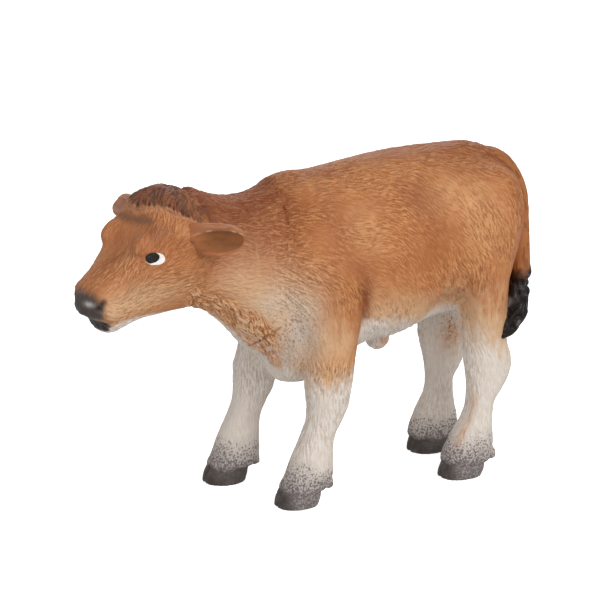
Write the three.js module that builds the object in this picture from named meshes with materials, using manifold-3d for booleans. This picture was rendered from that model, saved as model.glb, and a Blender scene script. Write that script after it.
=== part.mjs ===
// Toy calf: a farm animal figure of solid vinyl, glued together from nine painted mouldings.
// Millimetres, +Z up. The calf faces -X, its left side is -Y, and it stands on Z = 0.
// Its head is turned a little to its left and its right foreleg is a step ahead.
import * as THREE from "three";
import { mergeVertices } from "three/addons/utils/BufferGeometryUtils.js";
import Module from "manifold-3d";

const wasm = await Module();
wasm.setup();

// Trunk
const croup_height = 53.5; // top of the hindquarters above the floor
const body_length = 59.2; // rump to the front end of the neck
const rump_x = 34.2; // back of the rump
const barrel_width = 24.4;
const leg_corner = { low: 0.9, high: 3.7 }; // roundness between a leg and the trunk, low and high
const neck_corner = 2.4; // roundness between the skull and the neck
const corner_fullness = 0.85; // how much of a smooth corner is filled

// Head, in its own frame: the middle of the ear axis, forward, up and to the right
const head_reach = 4.4; // front end of the neck to the ear axis
const head_aside = 2; // how far the ear axis is to the left of the trunk's middle
const head_drop = 6.95; // croup to the ear axis
const head_length = 16.7; // ear axis to the tip of the muzzle
const head_depth = 14.2; // ear axis to the angle of the jaw
const head_width = 14.4;
const head_pitch = 18; // degrees, muzzle down
const head_yaw = 15; // degrees, muzzle to the calf's left
const head_roll = 3; // degrees, left ear down
const poll_curl = { length: 7.2, width: 10.4, height: 4.6 }; // the curly cap of hair
const eye_size = 2.5;
const brow = { length: 4.8, height: 3.4, width: 3 }; // the bony rim over an eye
const eye_rise = 0.35; // how far an eyeball stands out of its rim
const nostril = { length: 1.5, width: 0.7, depth: 0.6 };
const mouth_height = 0.35;
const lip_length = 4.5; // tip of the muzzle to the corner of the mouth

// Ears
const ear_length = 8.8;
const ear_breadth = 5.4;
const right_ear_fold = 0.62; // breadth of the right ear, folded narrower, against the left
const ear_thickness = 1;
const ear_cup = 1.3; // how far the rims stand forward of the middle

// Legs
const fore_stance_width = 15.2; // between the middles of the two fore soles
const hind_stance_width = 13.4;
const foreleg_size = 8; // front to back at the elbow
const hindleg_size = 8.4; // front to back at the hock
const leg_width = 7; // side to side at the elbow or hock
const fore_seam_height = 17;
const hind_seam_height = 23.5;
const cleft_width = 0.5; // between the two claws of a hoof
const dewclaw_size = 1.5;

// Tail and sheath
const tail_root_reach = 6.2; // rump to the front of the tail root
const tail_reach = 6.8; // front of the tail root to the middle of the hanging tail
const tail_thickness = 3.1;
const tuft_thickness = 3.4;
const sheath = { length: 4.2, width: 3, height: 4.6 };

// Joints between the mouldings: a peg on the smaller one, glued in a blind socket
const brisket_seam_height = 22.5; // where the neck seam turns forwards
const neck_peg = { width: 8, length: 6 };
const leg_peg = { width: 3, length: 4 };
const ear_peg = { width: 0.9, length: 2 };
const tail_peg = { width: 1.4, length: 3 };
const glue_gap = 0.3; // round a peg, past its end and across a seam
const overrun = 1; // how far a cutter runs past what it cuts, and a peg back into its own piece

// Facets
const trunk_facets = { rings: 44, sides: 36 };
const limb_facets = { rings: 26, sides: 18 };
const skull_facets = { rings: 24, sides: 26 };
const ear_facets = { rings: 9, sides: 18 };
const tail_facets = { rings: 24, sides: 12 };
const peg_sides = 12;
const ball_sides = 12;

// Places along the trunk from the rump forwards, as shares of body_length.
const foreleg_share = 0.625; // the left foreleg at the elbow
const hindleg_share = 0.1394; // the left hind leg at the hock
const neck_seam_share = 0.7466;
const foreleg_x = rump_x - foreleg_share * body_length;
const hindleg_x = rump_x - hindleg_share * body_length;
const neck_seam_x = rump_x - neck_seam_share * body_length;
const tail_root_x = rump_x - tail_root_reach;

// Trunk and neck from the rump forwards: a share of body_length, then top, widest level and
// underline as shares of croup_height, then half width and the neck's bend to the left as
// shares of half of barrel_width.
const trunk_shares = [
  [0.0, 0.823, 0.764, 0.72, 0.16, 0],
  [0.007, 0.86, 0.766, 0.685, 0.28, 0],
  [0.018, 0.892, 0.77, 0.655, 0.38, 0],
  [0.035, 0.922, 0.774, 0.62, 0.51, 0],
  [0.062, 0.957, 0.77, 0.57, 0.66, 0],
  [0.105, 0.986, 0.755, 0.52, 0.82, 0],
  [0.155, 0.998, 0.736, 0.494, 0.92, 0],
  [0.24, 1.0, 0.726, 0.489, 0.965, 0],
  [0.34, 0.998, 0.717, 0.464, 0.99, 0],
  [0.414, 0.992, 0.708, 0.442, 1.0, 0],
  [0.481, 0.983, 0.698, 0.438, 1.0, 0],
  [0.551, 0.972, 0.689, 0.408, 0.985, 0],
  [0.618, 0.962, 0.679, 0.351, 0.95, 0],
  [0.679, 0.96, 0.67, 0.336, 0.9, 0],
  [0.726, 0.951, 0.67, 0.347, 0.855, 0],
  [0.747, 0.94, 0.67, 0.381, 0.82, 0],
  [0.78, 0.925, 0.679, 0.434, 0.76, 0.01],
  [0.824, 0.918, 0.698, 0.472, 0.68, 0.03],
  [0.868, 0.921, 0.717, 0.525, 0.6, 0.06],
  [0.905, 0.929, 0.745, 0.563, 0.55, 0.09],
  [0.949, 0.945, 0.774, 0.6, 0.51, 0.12],
  [0.983, 0.95, 0.79, 0.625, 0.43, 0.15],
  [1.0, 0.92, 0.79, 0.66, 0.25, 0.16],
];
const trunk_squareness = 2.1; // 2 is an ellipse

// Swellings and hollows of the body, in pairs. The place and the half sizes are along, outwards
// and up, as shares of body_length from the rump, of half of barrel_width and of croup_height.
// The last is how far the skin stands out, as a share of half of barrel_width.
const form_shares = [
  [0.282, 0.705, 0.882, 0.071, 0.287, 0.056, 0.037], // hip bone
  [0.054, 0.533, 0.832, 0.041, 0.246, 0.056, 0.01], // pin bone
  [0.079, 0.377, 0.95, 0.076, 0.213, 0.049, -0.139], // beside the tail root
  [0.172, 0.459, 0.976, 0.076, 0.18, 0.03, -0.041], // croup
  [0.333, 0.943, 0.748, 0.051, 0.328, 0.121, -0.053], // flank
  [0.282, 0.697, 0.514, 0.054, 0.279, 0.075, -0.205], // under the flank
  [0.375, 0.779, 0.879, 0.057, 0.246, 0.049, -0.029], // loin
  [0.519, 0.984, 0.673, 0.118, 0.328, 0.131, 0.029], // belly
  [0.164, 0.984, 0.682, 0.076, 0.328, 0.103, 0.025], // thigh
  [0.639, 0.967, 0.682, 0.051, 0.287, 0.112, 0.041], // upper arm
  [0.529, 0.951, 0.664, 0.034, 0.246, 0.103, -0.045], // behind the upper arm
  [0.598, 0.672, 0.86, 0.032, 0.369, 0.093, -0.037], // behind the shoulder blade
  [0.679, 0.721, 0.822, 0.051, 0.287, 0.093, 0.025], // shoulder blade
  [0.696, 0, 0.961, 0.054, 0.328, 0.03, 0.025], // withers
  [0.74, 0.615, 0.598, 0.037, 0.246, 0.067, -0.029], // between the brisket and the arm
  [0.806, 0, 0.505, 0.059, 0.287, 0.075, 0.029], // brisket
];
// Between these heights, as shares of croup_height, a leg's corner goes from low to high.
const corner_shares = [0.505, 0.748];

// Foreleg from the sole up to the shoulder: a share of croup_height, then the reach forward
// and the half length as shares of foreleg_size, then the half width as a share of leg_width
// and the place outwards of the stance as a share of half of barrel_width.
const foreleg_shares = [
  [0.0, 0.75, 0.43, 0.45, 0],
  [0.025, 0.705, 0.43, 0.475, 0],
  [0.044, 0.655, 0.42, 0.47, 0],
  [0.06, 0.55, 0.49, 0.495, 0],
  [0.088, 0.475, 0.475, 0.49, 0],
  [0.119, 0.435, 0.44, 0.455, 0],
  [0.149, 0.39, 0.4, 0.42, 0],
  [0.18, 0.33, 0.355, 0.393, 0],
  [0.21, 0.26, 0.33, 0.38, 0],
  [0.245, 0.16, 0.345, 0.393, 0],
  [0.292, 0.07, 0.41, 0.436, 0],
  [0.353, 0.05, 0.463, 0.47, 0],
  [0.408, 0.03, 0.48, 0.507, 0.01],
  [0.477, 0.04, 0.53, 0.557, 0.025],
  [0.566, 0.08, 0.7, 0.6, 0.05],
  [0.679, 0.11, 0.825, 0.6, 0.055],
  [0.792, 0.075, 0.7, 0.514, -0.01],
  [0.877, -0.025, 0.45, 0.4, -0.115],
  [0.906, -0.04, 0.25, 0.2, -0.155],
];

// Hind leg from the sole up to the hip, in the same way, with hindleg_size.
const hindleg_shares = [
  [0.0, 0.585, 0.435, 0.443, 0],
  [0.022, 0.54, 0.435, 0.47, 0],
  [0.04, 0.505, 0.42, 0.465, 0],
  [0.055, 0.44, 0.5, 0.49, 0],
  [0.08, 0.405, 0.49, 0.48, 0],
  [0.112, 0.345, 0.43, 0.457, 0],
  [0.142, 0.298, 0.37, 0.42, 0],
  [0.172, 0.235, 0.3, 0.386, 0],
  [0.202, 0.185, 0.265, 0.364, 0],
  [0.234, 0.145, 0.275, 0.357, 0],
  [0.265, 0.07, 0.345, 0.38, 0],
  [0.303, 0.012, 0.42, 0.407, 0],
  [0.353, 0.012, 0.47, 0.436, 0.005],
  [0.422, 0.11, 0.431, 0.486, 0.025],
  [0.5, 0.204, 0.451, 0.6, 0.075],
  [0.555, 0.268, 0.482, 0.66, 0.09],
  [0.66, 0.295, 0.525, 0.7, 0.1],
  [0.774, 0.2, 0.62, 0.7, 0.05],
  [0.868, 0.12, 0.62, 0.56, -0.04],
  [0.934, 0.1, 0.45, 0.371, -0.13],
  [0.953, 0.09, 0.262, 0.2, -0.17],
];
const leg_squareness = 2.2;

// How far a leg stands ahead of its left twin: a share of croup_height, then of its size.
const no_step_shares = [[0, 0], [1, 0]]; // prettier-ignore
const fore_step_shares = [
  [0.0, 0.7],
  [0.3, 0.7],
  [0.42, 0.53],
  [0.62, 0.15],
  [1.0, 0.08],
];
const hind_step_shares = [
  [0.0, -0.19],
  [0.1, -0.1],
  [0.31, 0.08],
  [0.42, 0.09],
  [0.62, 0.0],
  [1.0, 0.0],
];

// Skull from behind the ears to the muzzle, in the head's frame: a share of head_length, then
// top, widest level and jaw as shares of head_depth, then half width as a share of half of
// head_width.
const skull_shares = [
  [-0.36, 0.12, -0.28, -0.74, 0.62],
  [-0.27, 0.25, -0.28, -0.87, 0.83],
  [-0.12, 0.31, -0.25, -0.99, 0.97],
  [0.0, 0.31, -0.2, -1.01, 0.99],
  [0.12, 0.265, -0.16, -0.985, 0.93],
  [0.24, 0.17, -0.13, -0.945, 0.83],
  [0.36, 0.075, -0.12, -0.91, 0.71],
  [0.45, -0.014, -0.15, -0.88, 0.65],
  [0.54, -0.085, -0.2, -0.86, 0.62],
  [0.63, -0.12, -0.26, -0.85, 0.57],
  [0.72, -0.15, -0.32, -0.845, 0.54],
  [0.81, -0.185, -0.38, -0.83, 0.53],
  [0.886, -0.23, -0.42, -0.78, 0.5],
  [0.94, -0.3, -0.45, -0.7, 0.43],
  [0.98, -0.38, -0.47, -0.58, 0.3],
  [1.0, -0.43, -0.48, -0.53, 0.14],
];
const skull_squareness = 2.4;

// Tail from its root on the croup to the tip of the tuft: back from the root as a share of
// tail_reach, height as a share of croup_height, place to the left as a share of half of
// barrel_width, then thickness as a share of tail_thickness or tuft_thickness.
const tail_shares = [
  [0.0, 0.945, 0.0, 0.7],
  [0.29, 0.95, 0.0, 1.0],
  [0.53, 0.93, 0.0, 1.0],
  [0.76, 0.892, 0.0, 1.0],
  [0.95, 0.838, 0.0, 0.97],
  [1.06, 0.779, 0.0, 0.95],
  [0.956, 0.738, 0.123, 0.95],
  [0.824, 0.701, 0.262, 0.95],
  [0.669, 0.658, 0.426, 0.97],
  [0.5, 0.621, 0.59, 1.0],
  [0.294, 0.591, 0.738, 1.0],
];
const tail_peg_share = 0.76; // of tail_reach
const tuft_shares = [
  [0.184, 0.559, 0.836, 0.95],
  [0.132, 0.531, 0.869, 1.0],
  [0.0, 0.49, 0.861, 0.85],
  [-0.118, 0.462, 0.852, 0.6],
  [-0.25, 0.437, 0.836, 0.12],
];

// Ear from root to tip: a share of ear_length, then of ear_breadth, ear_thickness and ear_cup.
const ear_shares = [
  [0.0, 0.2, 1.0, 0.2],
  [0.12, 0.26, 1.0, 0.4],
  [0.35, 0.42, 0.9, 0.95],
  [0.6, 0.5, 0.8, 1.0],
  [0.8, 0.43, 0.75, 0.8],
  [0.94, 0.25, 0.7, 0.4],
  [1.0, 0.08, 0.5, 0.1],
];

// Places on the head, as shares of head_length forward, head_depth up and half of head_width
// outwards.
const ear_root_share = [-0.04, -0.05, 0.88];
const eye_share = [0.35, -0.1, 0.66];
const brow_share = [0.32, -0.01, 0.57];
const poll_share = [-0.05, 0.19, 0];
const nostril_share = [0.95, -0.41, 0.3];
const mouth_level_share = -0.68; // of head_depth
// The ways that the ears point and open: forward, up and outwards.
const left_ear_ways = { along: [-5.0, -1.2, 6.5], opening: [0.45, -0.1, 0.9] };
const right_ear_ways = { along: [-3.4, -1.1, 9.3], opening: [0.45, 0.85, 0.25] };

// The row of a table where its first column has a value: a smooth curve through each column.
function row_at(table, value) {
  const low_end = table[0][0];
  const high_end = table.at(-1)[0];
  const rising = high_end > low_end;
  const past = table.findIndex(([first]) => (rising ? first > value : first < value));
  const row = past < 0 ? table.length - 2 : Math.max(past - 1, 0);
  return between(table, row, (value - table[row][0]) / (table[row + 1][0] - table[row][0]));
}

// The row at a share t of the way from one row of a table to the next.
function between(table, row, t) {
  const slope = (at, column) => {
    const before = table[Math.max(at - 1, 0)];
    const after = table[Math.min(at + 1, table.length - 1)];
    const rows = Math.min(at + 1, table.length - 1) - Math.max(at - 1, 0);
    return (after[column] - before[column]) / rows;
  };
  const [t2, t3] = [t * t, t * t * t];
  return table[row].map(
    (value, column) =>
      value * (2 * t3 - 3 * t2 + 1) +
      slope(row, column) * (t3 - 2 * t2 + t) +
      table[row + 1][column] * (3 * t2 - 2 * t3) +
      slope(row + 1, column) * (t3 - t2),
  );
}

// Rows spread evenly through a table.
function resample(table, count) {
  return Array.from({ length: count }, (_, k) => {
    const place = ((table.length - 1) * k) / (count - 1);
    const row = Math.min(Math.floor(place), table.length - 2);
    return between(table, row, place - row);
  });
}

// A closed skin over rings of equally many points, with a point in the middle of each end.
function skin(rings) {
  const sides = rings[0].length;
  const middle = (ring) =>
    ring.reduce((sum, p) => sum.add(p), new THREE.Vector3()).divideScalar(sides);
  const points = [...rings.flat(), middle(rings[0]), middle(rings.at(-1))];
  const [first, last] = [points.length - 2, points.length - 1];
  const faces = [];
  for (let k = 0; k < sides; k++) {
    const next = (k + 1) % sides;
    const end = (rings.length - 1) * sides;
    faces.push([first, next, k], [last, end + k, end + next]);
    for (let r = 0; r < rings.length - 1; r++) {
      const [low, high] = [r * sides, (r + 1) * sides];
      faces.push([low + k, low + next, high + next], [low + k, high + next, high + k]);
    }
  }
  const volume = faces.reduce(
    (sum, [a, b, c]) => sum + points[a].dot(points[b].clone().cross(points[c])),
    0,
  );
  if (volume < 0) faces.forEach((face) => face.reverse());
  return new THREE.BufferGeometry().setFromPoints(points).setIndex(faces.flat());
}

// A closed geometry as a solid that can be joined and cut.
function solid(geometry) {
  geometry.deleteAttribute("normal");
  geometry.deleteAttribute("uv");
  const merged = mergeVertices(geometry);
  return new wasm.Manifold(
    new wasm.Mesh({
      numProp: 3,
      vertProperties: merged.attributes.position.array,
      triVerts: new Uint32Array(merged.index.array),
    }),
  );
}

// Points round an oval section whose corners can be squarer than an ellipse's.
function oval(centre, sideways, upwards, size, squareness, sides) {
  const bulge = (value) => Math.sign(value) * Math.abs(value) ** (2 / squareness);
  return Array.from({ length: sides }, (_, k) => {
    const angle = (2 * Math.PI * k) / sides;
    const [across, up] = [bulge(Math.cos(angle)), bulge(Math.sin(angle))];
    return centre
      .clone()
      .addScaledVector(sideways, size.half_width * across)
      .addScaledVector(upwards, (up > 0 ? size.above : size.below) * up);
  });
}

const x_axis = new THREE.Vector3(1, 0, 0);
const y_axis = new THREE.Vector3(0, 1, 0);
const z_axis = new THREE.Vector3(0, 0, 1);
const LEFT = -1;
const RIGHT = 1;
const far = 2 * (body_length + croup_height);

// How far a place is outside an oval section, along the line from the section's middle.
function off_oval(across, up, { half_width, above, below }, squareness) {
  const half_height = up > 0 ? above : below;
  const reach = Math.hypot(across, up);
  const ratio =
    (Math.abs(across / half_width) ** squareness + Math.abs(up / half_height) ** squareness) **
    (1 / squareness);
  return ratio > 0 ? reach - reach / ratio : -Math.min(half_width, half_height);
}

// How far the skin stands out where another form is this far off, to round the corner there.
function filling(away, roundness) {
  return (corner_fullness * Math.max(roundness - Math.abs(away), 0) ** 2) / (4 * roundness);
}

// The roundness of the corner between a leg and the trunk at a height.
function leg_corner_at(height) {
  const [low_end, high_end] = corner_shares.map((share) => share * croup_height);
  const share = THREE.MathUtils.smoothstep(height, low_end, high_end);
  return THREE.MathUtils.lerp(leg_corner.low, leg_corner.high, share);
}

// How far the body's swellings and hollows move its skin out at a place.
function body_form(point) {
  const half = barrel_width / 2;
  return form_shares.reduce((sum, [along, out, up, half_along, half_out, half_up, rise]) => {
    const away = Math.hypot(
      ((rump_x - point.x) / body_length - along) / half_along,
      (Math.abs(point.y) / half - out) / half_out,
      (point.z / croup_height - up) / half_up,
    );
    return sum + rise * half * Math.exp(-away * away);
  }, 0);
}

// Moves the points of a ring out from its middle, each by its own amount.
function swell(ring, middle, amount) {
  ring.forEach((point) => {
    const outwards = point.clone().sub(middle).normalize();
    point.addScaledVector(outwards, amount(point));
  });
  return ring;
}

// The middle and the half sizes of the trunk at a row of its table.
function trunk_section([along, top, widest, underline, width, bend]) {
  const level = widest * croup_height;
  return {
    place: new THREE.Vector3(
      rump_x - along * body_length,
      (LEFT * bend * barrel_width) / 2,
      level,
    ),
    half_width: (width * barrel_width) / 2,
    above: top * croup_height - level,
    below: level - underline * croup_height,
  };
}

function off_trunk(point) {
  const along = (rump_x - point.x) / body_length;
  const section = trunk_section(row_at(trunk_shares, THREE.MathUtils.clamp(along, 0, 1)));
  const { place } = section;
  const side = off_oval(point.y - place.y, point.z - place.z, section, trunk_squareness);
  return Math.max(side, Math.abs(point.x - place.x));
}

// Trunk and neck in one, with its skin moved out by grow.
function trunk(grow = 0) {
  const amount = (point) =>
    legs.reduce(
      (sum, which) => sum + filling(off_leg(which, point), leg_corner_at(point.z)),
      grow + body_form(point) + filling(off_skull(point), neck_corner),
    );
  const rings = resample(trunk_shares, trunk_facets.rings).map((row) => {
    const section = trunk_section(row);
    const { place } = section;
    const ring = oval(place, y_axis, z_axis, section, trunk_squareness, trunk_facets.sides);
    return swell(ring, place, amount);
  });
  rings[0].forEach((point) => (point.x += grow));
  return solid(skin(rings));
}

// The middle and the half sizes of a leg at a height.
function leg_section(which, height_share, row) {
  const [, forward, half_length, half_width, outward] = row;
  const [, step] = row_at(which.step_shares, height_share);
  return {
    place: new THREE.Vector3(
      which.x - (forward + step) * which.size,
      which.side * (which.stance / 2 + (outward * barrel_width) / 2),
      height_share * croup_height,
    ),
    half_length: half_length * which.size,
    half_width: half_width * leg_width,
  };
}

function off_leg(which, point) {
  const height_share = point.z / croup_height;
  const top_share = which.shares.at(-1)[0];
  const share = THREE.MathUtils.clamp(height_share, 0, top_share);
  const { place, half_length, half_width } = leg_section(which, share, row_at(which.shares, share));
  const size = { half_width, above: half_length, below: half_length };
  const side = off_oval(point.y - place.y, point.x - place.x, size, leg_squareness);
  return Math.max(side, (height_share - top_share) * croup_height);
}

// One leg from its flat sole up into the body, with its skin moved out by grow.
function leg(which, grow = 0) {
  const amount = (point) =>
    grow + body_form(point) + filling(off_trunk(point), leg_corner_at(point.z));
  const rings = resample(which.shares, limb_facets.rings).map((row) => {
    const { place, half_length, half_width } = leg_section(which, row[0], row);
    const size = { half_width, above: half_length, below: half_length };
    const ring = oval(place, y_axis, x_axis, size, leg_squareness, limb_facets.sides);
    return swell(ring, place, amount);
  });
  return solid(skin(rings));
}

// A ball stretched to three half sizes along three axes.
function ball(place, [forward, upward, outward], half_sizes) {
  const geometry = new THREE.SphereGeometry(1, ball_sides, ball_sides / 2);
  geometry.scale(...half_sizes);
  geometry.applyMatrix4(new THREE.Matrix4().makeBasis(forward, upward, outward));
  geometry.translate(place.x, place.y, place.z);
  return outward_facing(geometry);
}

// A closed geometry as a solid, turned right side out if a mirrored frame turned it.
function outward_facing(geometry) {
  const made = solid(geometry);
  if (made.volume() > 0) return made;
  const index = geometry.index.array;
  for (let k = 0; k < index.length; k += 3) {
    [index[k], index[k + 1]] = [index[k + 1], index[k]];
  }
  return solid(geometry);
}

// A round bar from a place along a direction, from start to length along it.
function bar(place, direction, width, start, length) {
  const geometry = new THREE.CylinderGeometry(width / 2, width / 2, length - start, peg_sides);
  geometry.translate(0, (length + start) / 2, 0);
  geometry.applyQuaternion(new THREE.Quaternion().setFromUnitVectors(y_axis, direction));
  geometry.translate(place.x, place.y, place.z);
  return solid(geometry);
}

const peg = (place, direction, { width, length }) =>
  bar(place, direction, width, -overrun - glue_gap, length);

const socket = (place, direction, { width, length }) =>
  bar(place, direction, width + 2 * glue_gap, -overrun, length + glue_gap);

// A block between two corners.
function block(low, high) {
  const size = high.clone().sub(low);
  const middle = low.clone().add(high).divideScalar(2);
  const geometry = new THREE.BoxGeometry(size.x, size.y, size.z);
  geometry.translate(middle.x, middle.y, middle.z);
  return solid(geometry);
}

// The space inside the given bounds, open to far outside the figure where none is given.
function space({ front = -far, back = far, bottom = -far, top = far }) {
  return block(new THREE.Vector3(front, -far, bottom), new THREE.Vector3(back, far, top));
}

// Two small dewclaws behind a pastern, and the cleft between the claws in front.
function finish_hoof(which, whole) {
  const pastern_share = 0.06; // of croup_height
  const row = row_at(which.shares, pastern_share);
  const { place, half_length, half_width } = leg_section(which, pastern_share, row);
  const half = dewclaw_size / 2;
  for (const way of [LEFT, RIGHT]) {
    const spot = place.clone();
    spot.x += half_length - half / 2;
    spot.y += (way * half_width) / 2;
    whole = whole.add(ball(spot, [x_axis, z_axis, y_axis], [half, half, half]));
  }
  const sole = leg_section(which, 0, which.shares[0]);
  const low = new THREE.Vector3(sole.place.x - sole.half_length - overrun, sole.place.y, -overrun);
  const high = sole.place.clone();
  low.y -= cleft_width / 2;
  high.y += cleft_width / 2;
  high.z = place.z;
  high.x -= sole.half_length / 4;
  return whole.subtract(block(low, high));
}

const fore = {
  x: foreleg_x,
  size: foreleg_size,
  stance: fore_stance_width,
  seam: fore_seam_height,
  shares: foreleg_shares,
};
const hind = {
  x: hindleg_x,
  size: hindleg_size,
  stance: hind_stance_width,
  seam: hind_seam_height,
  shares: hindleg_shares,
};
const legs = [
  { ...fore, name: "front_left_leg", side: LEFT, step_shares: no_step_shares },
  { ...fore, name: "front_right_leg", side: RIGHT, step_shares: fore_step_shares },
  { ...hind, name: "hind_left_leg", side: LEFT, step_shares: no_step_shares },
  { ...hind, name: "hind_right_leg", side: RIGHT, step_shares: hind_step_shares },
];

// The head's frame: forward along the muzzle, up through the poll, and to the right.
const turn = new THREE.Quaternion()
  .setFromAxisAngle(z_axis, THREE.MathUtils.degToRad(head_yaw))
  .multiply(
    new THREE.Quaternion().setFromAxisAngle(y_axis, -THREE.MathUtils.degToRad(head_pitch)),
  )
  .multiply(new THREE.Quaternion().setFromAxisAngle(x_axis, THREE.MathUtils.degToRad(head_roll)));
const ahead = x_axis.clone().negate().applyQuaternion(turn);
const upward = z_axis.clone().applyQuaternion(turn);
const rightward = y_axis.clone().applyQuaternion(turn);
const ear_axis = new THREE.Vector3(
  rump_x - body_length - head_reach,
  LEFT * head_aside,
  croup_height - head_drop,
);

// A place on one side of the head.
function head_place([forward, up, out], side = RIGHT) {
  return ear_axis
    .clone()
    .addScaledVector(ahead, forward * head_length)
    .addScaledVector(upward, up * head_depth)
    .addScaledVector(rightward, (side * out * head_width) / 2);
}

// The middle and the half sizes of the skull at a row of its table.
function skull_section([along, top, widest, jaw, width]) {
  return {
    place: head_place([along, widest, 0]),
    half_width: (width * head_width) / 2,
    above: (top - widest) * head_depth,
    below: (widest - jaw) * head_depth,
  };
}

function off_skull(point) {
  const [low_end, high_end] = [skull_shares[0][0], skull_shares.at(-1)[0]];
  const along = point.clone().sub(ear_axis).dot(ahead) / head_length;
  const share = THREE.MathUtils.clamp(along, low_end, high_end);
  const section = skull_section(row_at(skull_shares, share));
  const away = point.clone().sub(section.place);
  const side = off_oval(away.dot(rightward), away.dot(upward), section, skull_squareness);
  return Math.max(side, Math.abs(away.dot(ahead)));
}

function skull(grow = 0) {
  const amount = (point) => grow + filling(off_trunk(point), neck_corner);
  const rings = resample(skull_shares, skull_facets.rings).map((row) => {
    const section = skull_section(row);
    const { place } = section;
    const ring = oval(place, rightward, upward, section, skull_squareness, skull_facets.sides);
    return swell(ring, place, amount);
  });
  return solid(skin(rings));
}

// A cupped ear and the peg at its root.
function ear(side, ways, fold) {
  const way = ([forward, up, out]) =>
    new THREE.Vector3()
      .addScaledVector(ahead, forward)
      .addScaledVector(upward, up)
      .addScaledVector(rightward, side * out);
  const along = way(ways.along).normalize();
  const opening = way(ways.opening);
  opening.addScaledVector(along, -opening.dot(along)).normalize();
  const across = along.clone().cross(opening);
  const root = head_place(ear_root_share, side);
  const rings = resample(ear_shares, ear_facets.rings).map(([reach, breadth, thickness, cup]) =>
    Array.from({ length: ear_facets.sides }, (_, k) => {
      const angle = (2 * Math.PI * k) / ear_facets.sides;
      const rim = Math.cos(angle);
      const lift = (Math.sin(angle) * thickness * ear_thickness) / 2 + rim * rim * cup * ear_cup;
      return root
        .clone()
        .addScaledVector(along, reach * ear_length)
        .addScaledVector(across, rim * breadth * ear_breadth * fold)
        .addScaledVector(opening, lift);
    }),
  );
  return { shell: solid(skin(rings)), root, inward: along.clone().negate() };
}

// The tail and its tuft as one curved bar.
function tail() {
  const table = [
    ...tail_shares.map((row) => [...row.slice(0, 3), row[3] * tail_thickness]),
    ...tuft_shares.map((row) => [...row.slice(0, 3), row[3] * tuft_thickness]),
  ];
  const stations = resample(table, tail_facets.rings).map(([back, height, left, thickness]) => ({
    place: new THREE.Vector3(
      tail_root_x + back * tail_reach,
      (LEFT * left * barrel_width) / 2,
      height * croup_height,
    ),
    half: thickness / 2,
  }));
  const rings = stations.map(({ place, half }, k) => {
    const before = stations[Math.max(k - 1, 0)].place;
    const after = stations[Math.min(k + 1, stations.length - 1)].place;
    const run = after.clone().sub(before);
    const outwards = run.clone().cross(y_axis).normalize();
    const sideways = outwards.clone().cross(run).normalize();
    const size = { half_width: half, above: half, below: half };
    return oval(place, sideways, outwards, size, 2, tail_facets.sides);
  });
  return solid(skin(rings));
}

const figure = new THREE.Group();

function add(name, body, color, roughness) {
  const { vertProperties, triVerts } = body.getMesh();
  const geometry = new THREE.BufferGeometry()
    .setAttribute("position", new THREE.BufferAttribute(vertProperties, 3))
    .setIndex(new THREE.BufferAttribute(triVerts, 1));
  geometry.computeVertexNormals();
  const material = new THREE.MeshStandardMaterial({ color, roughness, metalness: 0 });
  const mesh = new THREE.Mesh(geometry, material);
  mesh.name = name;
  figure.add(mesh);
}

// Torso: the trunk behind the neck seam, the tops of the legs and the sheath.
const whole_legs = legs.map((which) => leg(which));
const half_gap = glue_gap / 2;
const body = legs.reduce(
  (sum, which, k) => sum.add(whole_legs[k].intersect(space({ bottom: which.seam + half_gap }))),
  trunk(),
);
const in_front = (gap) =>
  space({ back: neck_seam_x + gap, bottom: brisket_seam_height - gap });
let torso = body.subtract(in_front(half_gap));
const sheath_along_share = 0.42; // of body_length
const sheath_level_share = 0.432; // of croup_height
const sheath_place = new THREE.Vector3(
  rump_x - sheath_along_share * body_length,
  0,
  sheath_level_share * croup_height,
);
const sheath_half = [sheath.length / 2, sheath.height / 2, sheath.width / 2];
torso = torso.add(ball(sheath_place, [x_axis, z_axis, y_axis], sheath_half));

// Legs, each cut level below the body, with its peg on top.
legs.forEach((which, k) => {
  const share = which.seam / croup_height;
  const { place } = leg_section(which, share, row_at(which.shares, share));
  const below = whole_legs[k].intersect(space({ top: which.seam - half_gap }));
  torso = torso.subtract(socket(place, z_axis, leg_peg));
  which.body = finish_hoof(which, below).add(peg(place, z_axis, leg_peg));
});

// Head and neck in one, with the curly cap, the brows, the eyes, the nostrils and the mouth.
const head_axes = [ahead, upward, rightward];
let head = body
  .intersect(in_front(-half_gap))
  .add(skull())
  .add(
    ball(head_place(poll_share), head_axes, [
      poll_curl.length / 2,
      poll_curl.height / 2,
      poll_curl.width / 2,
    ]),
  );
for (const side of [LEFT, RIGHT]) {
  const brow_half = [brow.length / 2, brow.height / 2, brow.width / 2];
  const eye = eye_size / 2;
  const eye_place = head_place(eye_share, side);
  const nostril_half = [nostril.depth, nostril.length / 2, nostril.width / 2];
  eye_place.addScaledVector(rightward, side * (eye_rise - eye / 2));
  head = head
    .add(ball(head_place(brow_share, side), head_axes, brow_half))
    .add(ball(eye_place, head_axes, [eye, eye, eye]))
    .subtract(ball(head_place(nostril_share, side), head_axes, nostril_half));
}
const lips = new THREE.BoxGeometry(lip_length, mouth_height, head_width);
lips.applyMatrix4(new THREE.Matrix4().makeBasis(ahead, upward, rightward.clone()));
const lips_place = head_place([1, mouth_level_share, 0]);
lips.translate(lips_place.x, lips_place.y, lips_place.z);
head = head.subtract(outward_facing(lips));

// Neck joint.
const neck_row = row_at(trunk_shares, neck_seam_share);
const neck_place = new THREE.Vector3(neck_seam_x, 0, neck_row[2] * croup_height);
head = head.add(peg(neck_place, x_axis, neck_peg));
torso = torso.subtract(socket(neck_place, x_axis, neck_peg));

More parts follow.
